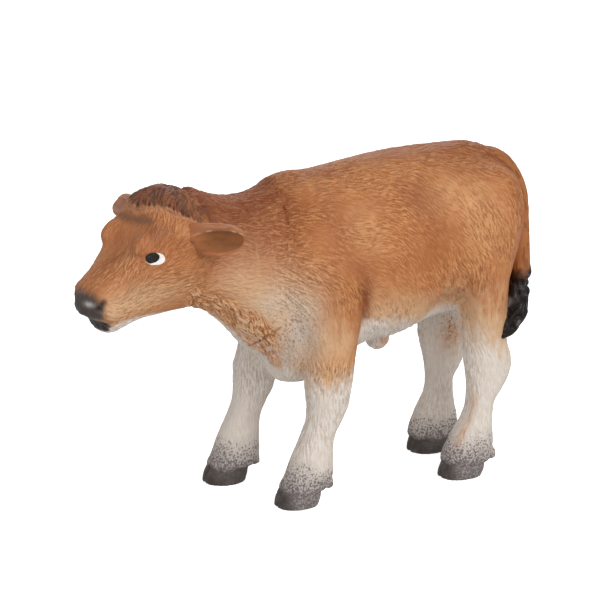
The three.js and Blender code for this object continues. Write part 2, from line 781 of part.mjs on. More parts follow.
// Ears, each fitted to the side of the head.
const head_skin = skull(glue_gap).add(trunk(glue_gap));
for (const [name, side, ways, fold] of [
  ["left_ear", LEFT, left_ear_ways, 1],
  ["right_ear", RIGHT, right_ear_ways, right_ear_fold],
]) {
  const { shell, root, inward } = ear(side, ways, fold);
  const fitted = shell.subtract(head_skin);
  add(name, fitted.add(peg(root, inward, ear_peg)), 0xa8663e, 0.6);
  head = head.subtract(socket(root, inward, ear_peg));
}

// Tail, fitted to the rump.
const [peg_back, peg_height] = row_at(tail_shares, tail_peg_share);
const tail_place = new THREE.Vector3(
  tail_root_x + peg_back * tail_reach,
  0,
  peg_height * croup_height,
);
const forwards = x_axis.clone().negate();
const body_skin = legs.reduce((sum, which) => sum.add(leg(which, glue_gap)), trunk(glue_gap));
add("tail", tail().subtract(body_skin).add(peg(tail_place, forwards, tail_peg)), 0x8a5230, 0.6);
torso = torso.subtract(socket(tail_place, forwards, tail_peg));

add("torso", torso, 0xb8744a, 0.6);
add("head", head, 0xb8744a, 0.6);
for (const { name, body } of legs) add(name, body, 0xd9cfc4, 0.6);

// The figure stands with the middle of its box over the origin.
const box = new THREE.Box3().setFromObject(figure);
const middle = box.getCenter(new THREE.Vector3());
figure.position.set(-middle.x, -middle.y, -box.min.z);

export default figure;
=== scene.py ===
"""Toy calf in painted vinyl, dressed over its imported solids.

The skins are worked out in millimetres in the calf's own frame, where the calf faces -X, its
left side is -Y and its soles are on Z = 0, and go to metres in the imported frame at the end.
Each skin is the zero level of one field of distances, so that neighbouring mouldings meet.
"""
import math

import bmesh
import bpy
import numpy as np
from mathutils import Matrix, Vector


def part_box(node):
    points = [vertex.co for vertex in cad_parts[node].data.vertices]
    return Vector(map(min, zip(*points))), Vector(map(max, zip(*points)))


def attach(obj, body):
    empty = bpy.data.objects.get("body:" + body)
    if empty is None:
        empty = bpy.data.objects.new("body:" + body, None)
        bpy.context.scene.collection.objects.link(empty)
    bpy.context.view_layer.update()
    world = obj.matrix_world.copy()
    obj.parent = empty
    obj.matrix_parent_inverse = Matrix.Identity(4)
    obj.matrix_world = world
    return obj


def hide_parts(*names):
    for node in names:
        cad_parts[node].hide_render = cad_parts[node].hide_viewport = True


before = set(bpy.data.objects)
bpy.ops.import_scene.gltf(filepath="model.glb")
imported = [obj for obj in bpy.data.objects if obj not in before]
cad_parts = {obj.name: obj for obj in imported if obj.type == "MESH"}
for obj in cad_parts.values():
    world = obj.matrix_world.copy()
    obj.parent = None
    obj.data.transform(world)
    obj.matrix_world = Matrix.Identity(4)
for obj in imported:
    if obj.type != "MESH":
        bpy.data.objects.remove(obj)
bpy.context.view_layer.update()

# Trunk, head, legs and tail: the same sizes as the solids, in millimetres.
CROUP_HEIGHT = 53.5
BODY_LENGTH = 59.2
RUMP_X = 34.2
BARREL_WIDTH = 24.4
HEAD_LENGTH = 16.7
HEAD_DEPTH = 14.2
HEAD_WIDTH = 14.4
EAR_AXIS = np.array([-29.4, -2.0, 46.55])
LEG_WIDTH = 7.0
FORE_X, FORE_SIZE, FORE_STANCE = -2.8, 8.0, 15.2
HIND_X, HIND_SIZE, HIND_STANCE = 25.95, 8.4, 13.4
NECK_SEAM_X = -10.0
BRISKET_SEAM_HEIGHT = 22.5
FORE_SEAM_HEIGHT = 17.0
HIND_SEAM_HEIGHT = 23.5

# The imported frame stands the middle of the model's box over the origin.
LEG_LOW, LEG_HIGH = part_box("front_left_leg")
SHIFT = np.array([
    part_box("torso")[1][0] * 1000 - RUMP_X,
    (LEG_LOW[1] + LEG_HIGH[1]) * 500 + FORE_STANCE / 2,
    0.0,
])

# Cell sizes of the nets that the skins start from.
FINE_STEP = 0.46
TRUNK_STEP = 0.64

TRUNK = [  # along, top, widest, underline, half width, bend to the left
    [-0.004, 0.79, 0.764, 0.745, 0.05, 0],
    [0.0, 0.823, 0.764, 0.72, 0.16, 0],
    [0.007, 0.86, 0.766, 0.685, 0.28, 0],
    [0.018, 0.892, 0.77, 0.655, 0.38, 0],
    [0.035, 0.922, 0.774, 0.62, 0.51, 0],
    [0.062, 0.957, 0.77, 0.57, 0.66, 0],
    [0.105, 0.986, 0.755, 0.52, 0.82, 0],
    [0.155, 0.998, 0.736, 0.494, 0.92, 0],
    [0.24, 1.0, 0.726, 0.489, 0.965, 0],
    [0.34, 0.998, 0.717, 0.464, 0.99, 0],
    [0.414, 0.992, 0.708, 0.442, 1.0, 0],
    [0.481, 0.983, 0.698, 0.438, 1.0, 0],
    [0.551, 0.972, 0.689, 0.408, 0.985, 0],
    [0.618, 0.962, 0.679, 0.351, 0.95, 0],
    [0.679, 0.96, 0.67, 0.336, 0.9, 0],
    [0.726, 0.951, 0.67, 0.347, 0.855, 0],
    [0.747, 0.94, 0.67, 0.381, 0.82, 0],
    [0.78, 0.925, 0.679, 0.434, 0.76, 0.01],
    [0.824, 0.918, 0.698, 0.472, 0.68, 0.03],
    [0.868, 0.921, 0.717, 0.525, 0.6, 0.06],
    [0.905, 0.929, 0.745, 0.563, 0.55, 0.09],
    [0.949, 0.945, 0.774, 0.6, 0.51, 0.12],
    [0.983, 0.95, 0.79, 0.625, 0.43, 0.15],
    [1.0, 0.92, 0.79, 0.66, 0.25, 0.16],
]
FORELEG = [  # height, forward, half length, half width, outward
    [0.0, 0.75, 0.43, 0.45, 0],
    [0.025, 0.705, 0.43, 0.475, 0],
    [0.044, 0.655, 0.42, 0.47, 0],
    [0.06, 0.55, 0.49, 0.495, 0],
    [0.088, 0.475, 0.475, 0.49, 0],
    [0.119, 0.435, 0.44, 0.455, 0],
    [0.149, 0.39, 0.4, 0.42, 0],
    [0.18, 0.33, 0.355, 0.393, 0],
    [0.21, 0.26, 0.33, 0.38, 0],
    [0.245, 0.16, 0.345, 0.393, 0],
    [0.292, 0.07, 0.41, 0.436, 0],
    [0.353, 0.05, 0.463, 0.47, 0],
    [0.408, 0.03, 0.48, 0.507, 0.01],
    [0.477, 0.04, 0.53, 0.557, 0.025],
    [0.566, 0.08, 0.7, 0.6, 0.05],
    [0.679, 0.11, 0.825, 0.6, 0.055],
    [0.792, 0.075, 0.7, 0.514, -0.01],
    [0.877, -0.025, 0.45, 0.4, -0.115],
    [0.906, -0.04, 0.25, 0.2, -0.155],
]
HINDLEG = [
    [0.0, 0.585, 0.435, 0.443, 0],
    [0.022, 0.54, 0.435, 0.47, 0],
    [0.04, 0.505, 0.42, 0.465, 0],
    [0.055, 0.44, 0.5, 0.49, 0],
    [0.08, 0.405, 0.49, 0.48, 0],
    [0.112, 0.345, 0.43, 0.457, 0],
    [0.142, 0.298, 0.37, 0.42, 0],
    [0.172, 0.235, 0.3, 0.386, 0],
    [0.202, 0.185, 0.265, 0.364, 0],
    [0.234, 0.145, 0.275, 0.357, 0],
    [0.265, 0.07, 0.345, 0.38, 0],
    [0.303, 0.012, 0.42, 0.407, 0],
    [0.353, 0.012, 0.47, 0.436, 0.005],
    [0.422, 0.11, 0.431, 0.486, 0.025],
    [0.5, 0.204, 0.451, 0.6, 0.075],
    [0.555, 0.268, 0.482, 0.66, 0.09],
    [0.66, 0.295, 0.525, 0.7, 0.1],
    [0.774, 0.2, 0.62, 0.7, 0.05],
    [0.868, 0.12, 0.62, 0.56, -0.04],
    [0.934, 0.1, 0.45, 0.371, -0.13],
    [0.953, 0.09, 0.262, 0.2, -0.17],
]
FORE_STEP = [[0, 0.7], [0.3, 0.7], [0.42, 0.53], [0.62, 0.15], [1, 0.08]]
HIND_STEP = [[0, -0.19], [0.1, -0.1], [0.31, 0.08], [0.42, 0.09], [0.62, 0], [1, 0]]
NO_STEP = [[0, 0], [1, 0]]
SKULL = [  # forward, top, widest, jaw, half width
    [-0.36, 0.12, -0.28, -0.74, 0.62],
    [-0.27, 0.25, -0.28, -0.87, 0.83],
    [-0.12, 0.31, -0.25, -0.99, 0.97],
    [0.0, 0.31, -0.2, -1.01, 0.99],
    [0.12, 0.265, -0.16, -0.985, 0.93],
    [0.24, 0.17, -0.13, -0.945, 0.83],
    [0.36, 0.075, -0.12, -0.91, 0.71],
    [0.45, -0.014, -0.15, -0.88, 0.65],
    [0.54, -0.085, -0.2, -0.86, 0.62],
    [0.63, -0.12, -0.26, -0.85, 0.57],
    [0.72, -0.15, -0.32, -0.845, 0.54],
    [0.81, -0.185, -0.38, -0.83, 0.53],
    [0.886, -0.23, -0.42, -0.78, 0.5],
    [0.94, -0.3, -0.45, -0.7, 0.43],
    [0.98, -0.38, -0.47, -0.58, 0.3],
    [1.0, -0.43, -0.48, -0.53, 0.14],
    [1.008, -0.46, -0.48, -0.5, 0.04],
]


# ---------------------------------------------------------------- curves, noise and distances

def through(rows, count=600):
    """Many rows on a smooth curve through a table's rows, for reading between them."""
    table = np.array(rows, float)
    ends = np.vstack([table[:1], table, table[-1:]])
    slopes = (ends[2:] - ends[:-2]) / 2
    slopes[0] *= 2
    slopes[-1] *= 2
    place = np.linspace(0, len(table) - 1, count)
    row = np.minimum(place.astype(int), len(table) - 2)
    t = (place - row)[:, None]
    a, b = table[row], table[row + 1]
    return (a * (2 * t**3 - 3 * t**2 + 1) + slopes[row] * (t**3 - 2 * t**2 + t)
            + b * (3 * t**2 - 2 * t**3) + slopes[row + 1] * (t**3 - t**2))


def read(table, value):
    """The other columns of a table at values of its first one."""
    return [np.interp(value, table[:, 0], table[:, k]) for k in range(1, table.shape[1])]


def ramp(low, high, value):
    """0 up to the low value and 1 from the high one, smooth between; it may run downwards."""
    t = np.clip((value - low) / (high - low), 0, 1)
    return t * t * (3 - 2 * t)


def unit(vectors):
    return vectors / (np.linalg.norm(vectors, axis=-1, keepdims=True) + 1e-12)


def noise(places, size, seed):
    """Smooth random values from -1 to 1 over space, in lumps of about this size."""
    spots = places / size + 7.31 * seed
    cells = np.floor(spots)
    t = spots - cells
    t = t * t * (3 - 2 * t)
    cells = cells.astype(np.int64)
    total = 0
    for corner in range(8):
        total_weight = 1
        key = np.full(len(places), seed * 374761393, np.int64)
        for axis, prime in enumerate((73856093, 19349663, 83492791)):
            side = corner >> axis & 1
            key ^= (cells[:, axis] + side) * prime
            total_weight = total_weight * (t[:, axis] if side else 1 - t[:, axis])
        key = (key ^ key >> 13) * 1274126177 & 0x7FFFFFFF
        key = (key ^ key >> 15) & 0xFFFF
        total = total + total_weight * (key / 32767.5 - 1)
    return total


def combed(places, ways, length, width, seed):
    """Noise drawn out into strokes of a length and width that lie along the given ways."""
    total = 0
    for reach in np.linspace(-0.5, 0.5, 9):
        total = total + noise(places + ways * (reach * length), width, seed)
    return total / 2.1  # back to about -1 to 1


def join(a, b, roundness):
    """The union of two fields, with a fillet of about this size where they meet."""
    h = np.maximum(roundness - np.abs(a - b), 0) / roundness
    return np.minimum(a, b) - h * h * roundness / 4


def within(a, b, roundness):
    """What two fields share, with its edge rounded by about this size."""
    return -join(-a, -b, roundness)


def off_oval(across, up, half_across, half_up, squareness):
    """How far places are out of an oval section, along the line from its middle."""
    reach = np.hypot(across, up) + 1e-6
    ratio = (np.abs(across / half_across) ** squareness
             + np.abs(up / half_up) ** squareness) ** (1 / squareness)
    return reach * (1 - 1 / (ratio + 1e-6))


def off_ball(places, middle, half_sizes):
    """About how far places are out of an egg shape."""
    scaled = np.linalg.norm((places - middle) / half_sizes, axis=1)
    return (scaled - 1) * min(half_sizes)


def soft_spot(places, middle, half_sizes):
    """1 at a place, falling smoothly to nothing over the half sizes."""
    return np.exp(-(((places - middle) / half_sizes) ** 2).sum(1))


def off_line(places, line):
    """How far places are from a line of straight runs, and the share of the way along it."""
    line = np.array(line, float)
    best = np.full(len(places), 1e9)
    share = np.zeros(len(places))
    for k in range(len(line) - 1):
        run = line[k + 1] - line[k]
        t = np.clip((places - line[k]) @ run / (run @ run), 0, 1)
        away = np.linalg.norm(places - line[k] - t[:, None] * run, axis=1)
        closer = away < best
        best = np.where(closer, away, best)
        share = np.where(closer, (k + t) / (len(line) - 1), share)
    return best, share


def groove(places, line, width, fade=0.25):
    """1 along a line, falling off across its width and fading towards both ends."""
    away, share = off_line(places, line)
    ends = ramp(0, fade, share) * ramp(0, fade, 1 - share) if fade else 1
    return np.exp(-((away / width) ** 2)) * ends


def mirrored(places, axis=1):
    """Places with those on one side put on the other, so that forms come in pairs."""
    pair = places.copy()
    pair[:, axis] = np.abs(pair[:, axis])
    return pair


def patches(places, table):
    """The sum of soft patches, each of them a share, a middle and half sizes."""
    return sum(share * soft_spot(places, middle, sizes) for share, middle, sizes in table)


# ------------------------------------------------------------------------- the head's frame

def spin(axis, degrees):
    """A turn about an axis as a matrix."""
    return np.array(Matrix.Rotation(math.radians(degrees), 3, axis))


HEAD_TURN = spin("Z", 15) @ spin("Y", -18) @ spin("X", 3)
AHEAD = HEAD_TURN @ [-1, 0, 0]
UPWARD = HEAD_TURN @ [0, 0, 1]
RIGHTWARD = HEAD_TURN @ [0, 1, 0]
HEAD_AXES = np.array([AHEAD, UPWARD, RIGHTWARD])


def in_head(places):
    """Forward, up and to the right of the middle of the ear axis."""
    return (places - EAR_AXIS) @ HEAD_AXES.T


def out_of_head(places):
    """The same the other way round."""
    return np.asarray(places) @ HEAD_AXES + EAR_AXIS


# ------------------------------------------------------------------------------ the fields

trunk_curve = through(TRUNK)
skull_curve = through(SKULL)


class Leg:
    """One leg: its side, its place along the body and the curves of its sections."""

    def __init__(self, rows, step, side, x, size, stance):
        self.curve, self.step = through(rows), through(step)
        self.side, self.x, self.size, self.stance = side, x, size, stance

    def middle(self, height):
        """Where a section's middle is, and its half length and half width."""
        forward, half_length, half_width, outward = read(self.curve, height)
        step, = read(self.step, height)
        x = self.x - (forward + step) * self.size
        y = self.side * (self.stance / 2 + outward * BARREL_WIDTH / 2)
        return x, y, half_length * self.size, half_width * LEG_WIDTH

    def field(self, places):
        height = places[:, 2] / CROUP_HEIGHT
        x, y, half_length, half_width = self.middle(height)
        side = off_oval(places[:, 1] - y, places[:, 0] - x, half_width, half_length, 2.2)
        top = places[:, 2] - self.curve[-1, 0] * CROUP_HEIGHT
        return within(within(side, top, 1.5), -places[:, 2], 0.35)


LEGS = {
    "front_left_leg": Leg(FORELEG, NO_STEP, -1, FORE_X, FORE_SIZE, FORE_STANCE),
    "front_right_leg": Leg(FORELEG, FORE_STEP, 1, FORE_X, FORE_SIZE, FORE_STANCE),
    "hind_left_leg": Leg(HINDLEG, NO_STEP, -1, HIND_X, HIND_SIZE, HIND_STANCE),
    "hind_right_leg": Leg(HINDLEG, HIND_STEP, 1, HIND_X, HIND_SIZE, HIND_STANCE),
}


def trunk_field(places):
    """How far places are out of the lofted trunk."""
    along = (RUMP_X - places[:, 0]) / BODY_LENGTH
    top, level, under, width, bend = read(trunk_curve, along)
    half = BARREL_WIDTH / 2
    up = places[:, 2] - level * CROUP_HEIGHT
    half_up = np.where(up > 0, top - level, level - under) * CROUP_HEIGHT
    side = off_oval(places[:, 1] + bend * half, up, width * half, half_up, 2.1)
    ends = np.maximum(along - 1, trunk_curve[0, 0] - along) * BODY_LENGTH
    return within(side, ends, 0.5)


def skull_field(q):
    """The skull's field over places in the head's frame."""
    top, level, jaw, width = read(skull_curve, q[:, 0] / HEAD_LENGTH)
    up = q[:, 1] - level * HEAD_DEPTH
    half_up = np.where(up > 0, top - level, level - jaw) * HEAD_DEPTH
    side = off_oval(q[:, 2], up, width * HEAD_WIDTH / 2, half_up, 2.4)
    back = skull_curve[0, 0] * HEAD_LENGTH - q[:, 0]
    front = q[:, 0] - skull_curve[-1, 0] * HEAD_LENGTH
    return within(within(side, back, 2.0), front, 0.4)


# Raised and hollow places on the body: middle, half sizes, how far the skin stands out.
BODY_FORMS = [
    ((17.5, 8.6, 47.2), (4.2, 3.5, 3.0), 0.45),  # hip bone
    ((31.0, 6.5, 44.5), (2.4, 3.0, 3.0), 0.12),  # pin bone
    ((29.5, 4.6, 50.8), (4.5, 2.6, 2.6), -1.7),  # beside the tail root
    ((24.0, 5.6, 52.2), (4.5, 2.2, 1.6), -0.5),
    ((14.5, 11.5, 40.0), (3.0, 4.0, 6.5), -0.65),  # flank hollow
    ((17.5, 8.5, 27.5), (3.2, 3.4, 4.0), -2.5),  # under the flank
    ((12.0, 9.5, 47.0), (3.4, 3.0, 2.6), -0.35),  # loin
    ((3.5, 12.0, 36.0), (7.0, 4.0, 7.0), 0.35),  # belly
    ((24.5, 12.0, 36.5), (4.5, 4.0, 5.5), 0.3),  # thigh
    ((-3.6, 11.8, 36.5), (3.0, 3.5, 6.0), 0.5),  # upper arm
    ((2.9, 11.6, 35.5), (2.0, 3.0, 5.5), -0.55),  # behind the upper arm
    ((-1.2, 8.2, 46.0), (1.9, 4.5, 5.0), -0.45),  # behind the shoulder blade
    ((-6.0, 8.8, 44.0), (3.0, 3.5, 5.0), 0.3),  # shoulder blade
    ((-7.0, 0.0, 51.4), (3.2, 4.0, 1.6), 0.3),  # withers
    ((-9.6, 7.5, 32.0), (2.2, 3.0, 3.6), -0.35),  # between the brisket and the arm
    ((-13.5, 0.0, 27.0), (3.5, 3.5, 4.0), 0.35),  # brisket
]
NECK_WRINKLES = [  # polylines on the side of the neck, width, depth
    ([(-10.4, 2.5, 49.7), (-9.8, 4.2, 48.5), (-10.2, 6.7, 46.7), (-10.6, 8.0, 44.4)], 0.34, 0.36),
    ([(-15.6, 2.4, 49.0), (-15.9, 5.2, 47.0), (-16.2, 7.2, 44.4)], 0.34, 0.24),
]
RIDGE_WIDTH, RIDGE_RISE = 0.24, 0.13
NECK_RIDGES = [
    [(-15.7, 7.4, 45.5), (-15.6, 8.2, 41.0), (-15.4, 8.4, 37.5)],
    [(-13.3, 7.4, 46.0), (-13.1, 8.8, 41.0), (-12.7, 9.2, 35.5)],
    [(-11.0, 8.3, 46.0), (-10.8, 9.5, 41.0), (-10.7, 9.9, 36.0)],
]
ELBOW_CREASE = [
    (-2.6, 11.6, 41.0), (-0.2, 11.9, 37.4), (0.9, 11.7, 33.2), (1.4, 10.8, 29.7),
    (0.5, 10.0, 26.6),
]
FLANK_FOLD = [(16.4, 11.7, 38.5), (17.6, 11.6, 35.6), (19.2, 11.4, 32.8), (20.8, 10.8, 30.4)]
GLUE_SEAM = [(-11.6, -8.4, 29.6), (-12.9, -7.2, 28.2), (-14.4, -4.0, 26.0), (-15.2, -1.0, 24.6)]

# The same for the head, in its own frame: forward, up, outward.
HEAD_FORMS = [
    ((4.4, 1.1, 3.6), (2.2, 1.7, 1.8), 0.3),  # over the eye
    ((4.0, 2.6, 0.0), (1.6, 1.2, 3.4), -0.35),  # under the fringe
    ((7.6, -0.4, 0.0), (2.2, 1.2, 1.6), -0.25),  # between the eyes
    ((2.6, -0.6, 6.4), (1.5, 1.8, 1.4), -0.45),  # temple
    ((1.2, -5.5, 6.8), (3.0, 3.2, 2.4), 0.35),  # cheek
    ((8.4, -4.4, 5.0), (2.4, 1.4, 1.6), 0.3),  # cheekbone
    ((8.8, -8.0, 4.8), (2.4, 2.2, 1.6), -0.35),
    ((12.6, -6.8, 4.2), (1.9, 2.2, 1.6), 0.3),  # flews
    ((14.6, -4.2, 2.8), (1.3, 1.2, 1.3), 0.3),  # above the nostril
    ((16.6, -6.4, 0.0), (1.0, 1.2, 2.2), 0.25),  # nose pad
    ((16.3, -9.2, 0.0), (1.8, 1.35, 3.8), -2.5),  # between nose and chin
    ((14.6, -9.9, 0.0), (1.0, 0.7, 2.4), 0.25),  # lower lip
    ((14.3, -8.2, 3.4), (1.2, 0.9, 1.2), 0.25),  # upper lip
    ((-2.2, -8.0, 6.6), (1.8, 3.0, 2.2), 0.35),  # angle of the jaw
]
EYE_LIDS = [
    ([(7.7, -1.0, 4.9), (7.0, -0.35, 5.1), (5.9, -0.2, 5.2), (4.8, -0.9, 5.4),
      (3.9, -2.5, 5.6)], 0.3, 0.2),
    ([(7.7, -1.0, 4.9), (7.1, -1.9, 5.0), (6.0, -2.7, 5.2), (5.0, -3.0, 5.4),
      (3.9, -2.6, 5.6)], 0.28, 0.16),
]
NOSTRIL_LINE = [(14.3, -4.7, 3.8), (15.0, -5.0, 3.5), (15.6, -5.6, 3.1), (15.9, -6.4, 2.6)]
MOUTH_LINE = [(17.2, -7.9, 0.0), (16.2, -8.0, 1.6), (15.2, -8.5, 2.9), (14.2, -9.3, 3.5),
              (12.8, -10.0, 3.6)]
JAW_EDGE = [(-4.3, -3.5, 7.0), (-3.9, -6.1, 7.8), (-1.9, -8.1, 7.2), (-0.6, -10.0, 6.3),
            (0.6, -12.0, 4.8)]


def inside_fringe(q):
    """How far places are behind the edge of the curly cap, in the head's frame."""
    aside = np.abs(q[:, 2] - 0.6)
    edge = np.interp(aside, [0, 2, 3.6, 4.6, 5.8, 6.8, 8], [3.0, 2.6, 1.5, 0.9, 0.3, -0.5, -2.2])
    return edge - q[:, 0]


def head_forms(places, total):
    """The head's own shapes, given the whole figure's field without them."""
    q = in_head(places)
    pair = mirrored(q, axis=2)
    total = join(total, off_ball(pair, (5.2, 0.0, 3.9), (2.4, 1.7, 1.4)), 1.3)
    for middle, half_sizes, rise in HEAD_FORMS:
        total = total - rise * soft_spot(pair, middle, half_sizes)
    # The eye: a hollow in the skull with a ball in it, and a lid above and below.
    total = total + 0.3 * soft_spot(pair, (5.8, -1.6, 5.4), (1.8, 1.2, 1.6))
    total = join(total, off_ball(pair, (5.85, -1.55, 4.0), (1.5, 1.3, 1.3)), 0.12)
    for line, width, rise in EYE_LIDS:
        total = total - rise * groove(pair, line, width, 0.15)
    # The curly cap: its edge runs back from the fringe on the forehead to the ears.
    edge = inside_fringe(q) + 0.3 * noise(places, 1.3, 5)
    cap = ramp(-0.1, 0.35, edge) * ramp(-9.5, -5.0, q[:, 0]) * ramp(-1.5, 1.0, q[:, 1])
    total = total - 0.55 * cap * (1 - 0.3 * ramp(2, 6, pair[:, 2]))
    # Nose, nostrils, mouth and the rear edge of the jaw.
    total = total + 0.9 * groove(pair, NOSTRIL_LINE, 0.4, 0.3)
    total = total + 0.7 * groove(pair, MOUTH_LINE, 0.28, 0.1)
    total = total + 0.4 * groove(pair, JAW_EDGE, 0.5, 0.3)
    # A swelling round the root of each ear.
    total = join(total, off_ball(pair, (-0.9, -0.9, 6.4), (2.0, 2.2, 1.6)), 1.8)
    return total


def figure_field(places):
    """How far places are out of the figure's skin, before its hair and hooves."""
    x, z = places[:, 0], places[:, 2]
    total = trunk_field(places)
    fillet = 0.9 + 2.8 * ramp(27, 40, z)
    for leg in LEGS.values():
        near = np.abs(x - leg.x) < 16
        if near.any():
            total[near] = join(total[near], leg.field(places[near]), fillet[near])
    pair = mirrored(places)
    for middle, half_sizes, rise in BODY_FORMS:
        near = np.abs(x - middle[0]) < 2.6 * half_sizes[0]
        if near.any():
            total[near] -= rise * soft_spot(pair[near], middle, half_sizes)
    belly = (x > 5) & (x < 14) & (z < 28)
    if belly.any():
        sheath = off_ball(places[belly], (9.4, 0, 23.3), (2.1, 1.5, 2.4))
        total[belly] = join(total[belly], sheath, 1.2)
    arm = (x > -5) & (x < 4)
    if arm.any():
        total[arm] += 0.55 * groove(pair[arm], ELBOW_CREASE, 0.75, 0.3)
    flank = (x > 13) & (x < 24)
    if flank.any():
        total[flank] += 0.35 * groove(pair[flank], FLANK_FOLD, 0.5, 0.4)
    neck = (x < -8) & (x > -20)
    if neck.any():
        for line, width, depth in NECK_WRINKLES:
            total[neck] += depth * groove(pair[neck], line, width)
        for line in NECK_RIDGES:
            total[neck] -= RIDGE_RISE * groove(pair[neck], line, RIDGE_WIDTH)
        total[neck] += 0.2 * groove(places[neck], GLUE_SEAM, 0.16, 0.15)
    front = x < -14
    if front.any():
        q = in_head(places[front])
        total[front] = head_forms(places[front], join(total[front], skull_field(q), 2.4))
    return total


def hoof_forms(places, leg, total):
    """The hoof's cleft, the hair over its edge and the two dewclaws."""
    toe_x, toe_y, toe_half, _ = np.ravel(leg.middle(0.0))
    toe = toe_x - toe_half
    cleft = [(toe - 0.6, toe_y, -0.4), (toe + 0.5, toe_y, 1.6), (toe + 1.7, toe_y, 3.2)]
    total = total + 0.4 * groove(places, cleft, 0.3, 0)
    sole = [(toe - 0.5, toe_y, -0.2), (toe_x + 2.4, toe_y, -0.2)]
    total = total + 0.3 * groove(places, sole, 0.3, 0)
    claw_x, claw_y, claw_half, claw_width = np.ravel(leg.middle(0.06))
    for way in (-1, 1):
        spot = (claw_x + claw_half - 0.75, claw_y + way * claw_width / 2, 3.5)
        total = join(total, off_ball(places, spot, (0.8, 0.75, 1.1)), 0.3)
    over_edge = places[:, 2] - 2.75 - 0.3 * noise(places, 0.9, 11)
    lip = np.exp(-(((over_edge - 0.35) / 0.4) ** 2))
    return total - 0.07 * lip + 0.06 * np.exp(-(((over_edge + 0.35) / 0.3) ** 2))


# -------------------------------------------------------------- meshing, hair and smoothness

def slope(field, places, step=0.02):
    """The way in which a field grows, and how fast, at each place."""
    here = field(places)
    rise = np.empty_like(places)
    for axis in range(3):
        there = places.copy()
        there[:, axis] += step
        rise[:, axis] = (field(there) - here) / step
    return here, rise


def settle(field, places, rounds=2):
    """Moves places on to the field's zero level."""
    for _ in range(rounds):
        here, rise = slope(field, places)
        pull = here / ((rise**2).sum(1) + 1e-3)
        places = places - rise * np.clip(pull, -0.4, 0.4)[:, None]
    return places


def net(field, low, high, step):
    """Quads near a field's zero level: one point in each grid cell that it passes through."""
    axes = [np.arange(a, b + step, step) for a, b in zip(low, high)]
    grid = np.stack(np.meshgrid(*axes, indexing="ij"), -1)
    shape = grid.shape[:3]
    value = field(grid.reshape(-1, 3)).reshape(shape)
    inside = value < 0
    nx, ny, nz = (n - 1 for n in shape)
    corners = [(i, j, k) for i in (0, 1) for j in (0, 1) for k in (0, 1)]
    filled = sum(inside[i:nx + i, j:ny + j, k:nz + k].astype(int) for i, j, k in corners)
    cells = np.argwhere((filled > 0) & (filled < 8))
    at = np.array(corners)
    held = value[tuple((cells[:, None] + at[None]).transpose(2, 0, 1))]
    total = np.zeros((len(cells), 3))
    count = np.zeros(len(cells))
    for a in range(8):
        for b in range(a + 1, 8):
            if np.abs(at[a] - at[b]).sum() != 1:
                continue
            cross = (held[:, a] < 0) != (held[:, b] < 0)
            gap = np.where(cross, held[:, a] - held[:, b], 1)
            t = np.where(cross, held[:, a] / gap, 0)
            total += cross[:, None] * (at[a] + t[:, None] * (at[b] - at[a]))
            count += cross
    points = np.array(low) + (cells + total / count[:, None]) * step
    number = np.full((nx, ny, nz), -1)
    number[tuple(cells.T)] = np.arange(len(cells))
    quads = []
    for axis in range(3):
        one, two = np.eye(3, dtype=int)[[(axis + 1) % 3, (axis + 2) % 3]]
        start = [slice(None)] * 3
        stop = [slice(None)] * 3
        start[axis], stop[axis] = slice(0, -1), slice(1, None)
        first, second = inside[tuple(start)], inside[tuple(stop)]
        edges = np.argwhere(first != second)
        edges = edges[(edges[:, (axis + 1) % 3] > 0) & (edges[:, (axis + 2) % 3] > 0)]
        edges = edges[(edges < [nx, ny, nz]).all(1)]
        ring = np.stack([number[tuple((edges - a * one - b * two).T)]
                         for a, b in ((0, 0), (1, 0), (1, 1), (0, 1))], 1)
        turned = ~inside[tuple(edges.T)]
        ring[turned] = ring[turned][:, ::-1]
        quads.append(ring[(ring >= 0).all(1)])
    # Points on the rim of the grid that no quad uses are left out.
    used, quads = np.unique(np.concatenate(quads), return_inverse=True)
    return points[used], quads.reshape(-1, 4)


def halved(points, quads):
    """Each quad in four."""
    sides = np.stack([quads, np.roll(quads, -1, 1)], -1).reshape(-1, 2)
    sides.sort(1)
    pairs, which = np.unique(sides, axis=0, return_inverse=True)
    which = which.reshape(-1, 4) + len(points)
    middles = points[pairs].mean(1)
    centres = points[quads].mean(1)
    centre = np.arange(len(quads)) + len(points) + len(pairs)
    parts = [np.stack([quads[:, k], which[:, k], centre, which[:, k - 1]], 1) for k in range(4)]
    return np.vstack([points, middles, centres]), np.concatenate(parts)


def relaxed(points, quads, rounds=2):
    """Points drawn to the middle of their neighbours, to even out the net."""
    sides = np.stack([quads, np.roll(quads, -1, 1)], -1).reshape(-1, 2)
    both = np.vstack([sides, sides[:, ::-1]])
    count = np.bincount(both[:, 0], minlength=len(points))[:, None]
    for _ in range(rounds):
        total = np.stack([np.bincount(both[:, 0], points[both[:, 1], k], len(points))
                          for k in range(3)], 1)
        points = 0.5 * points + 0.5 * total / count
    return points


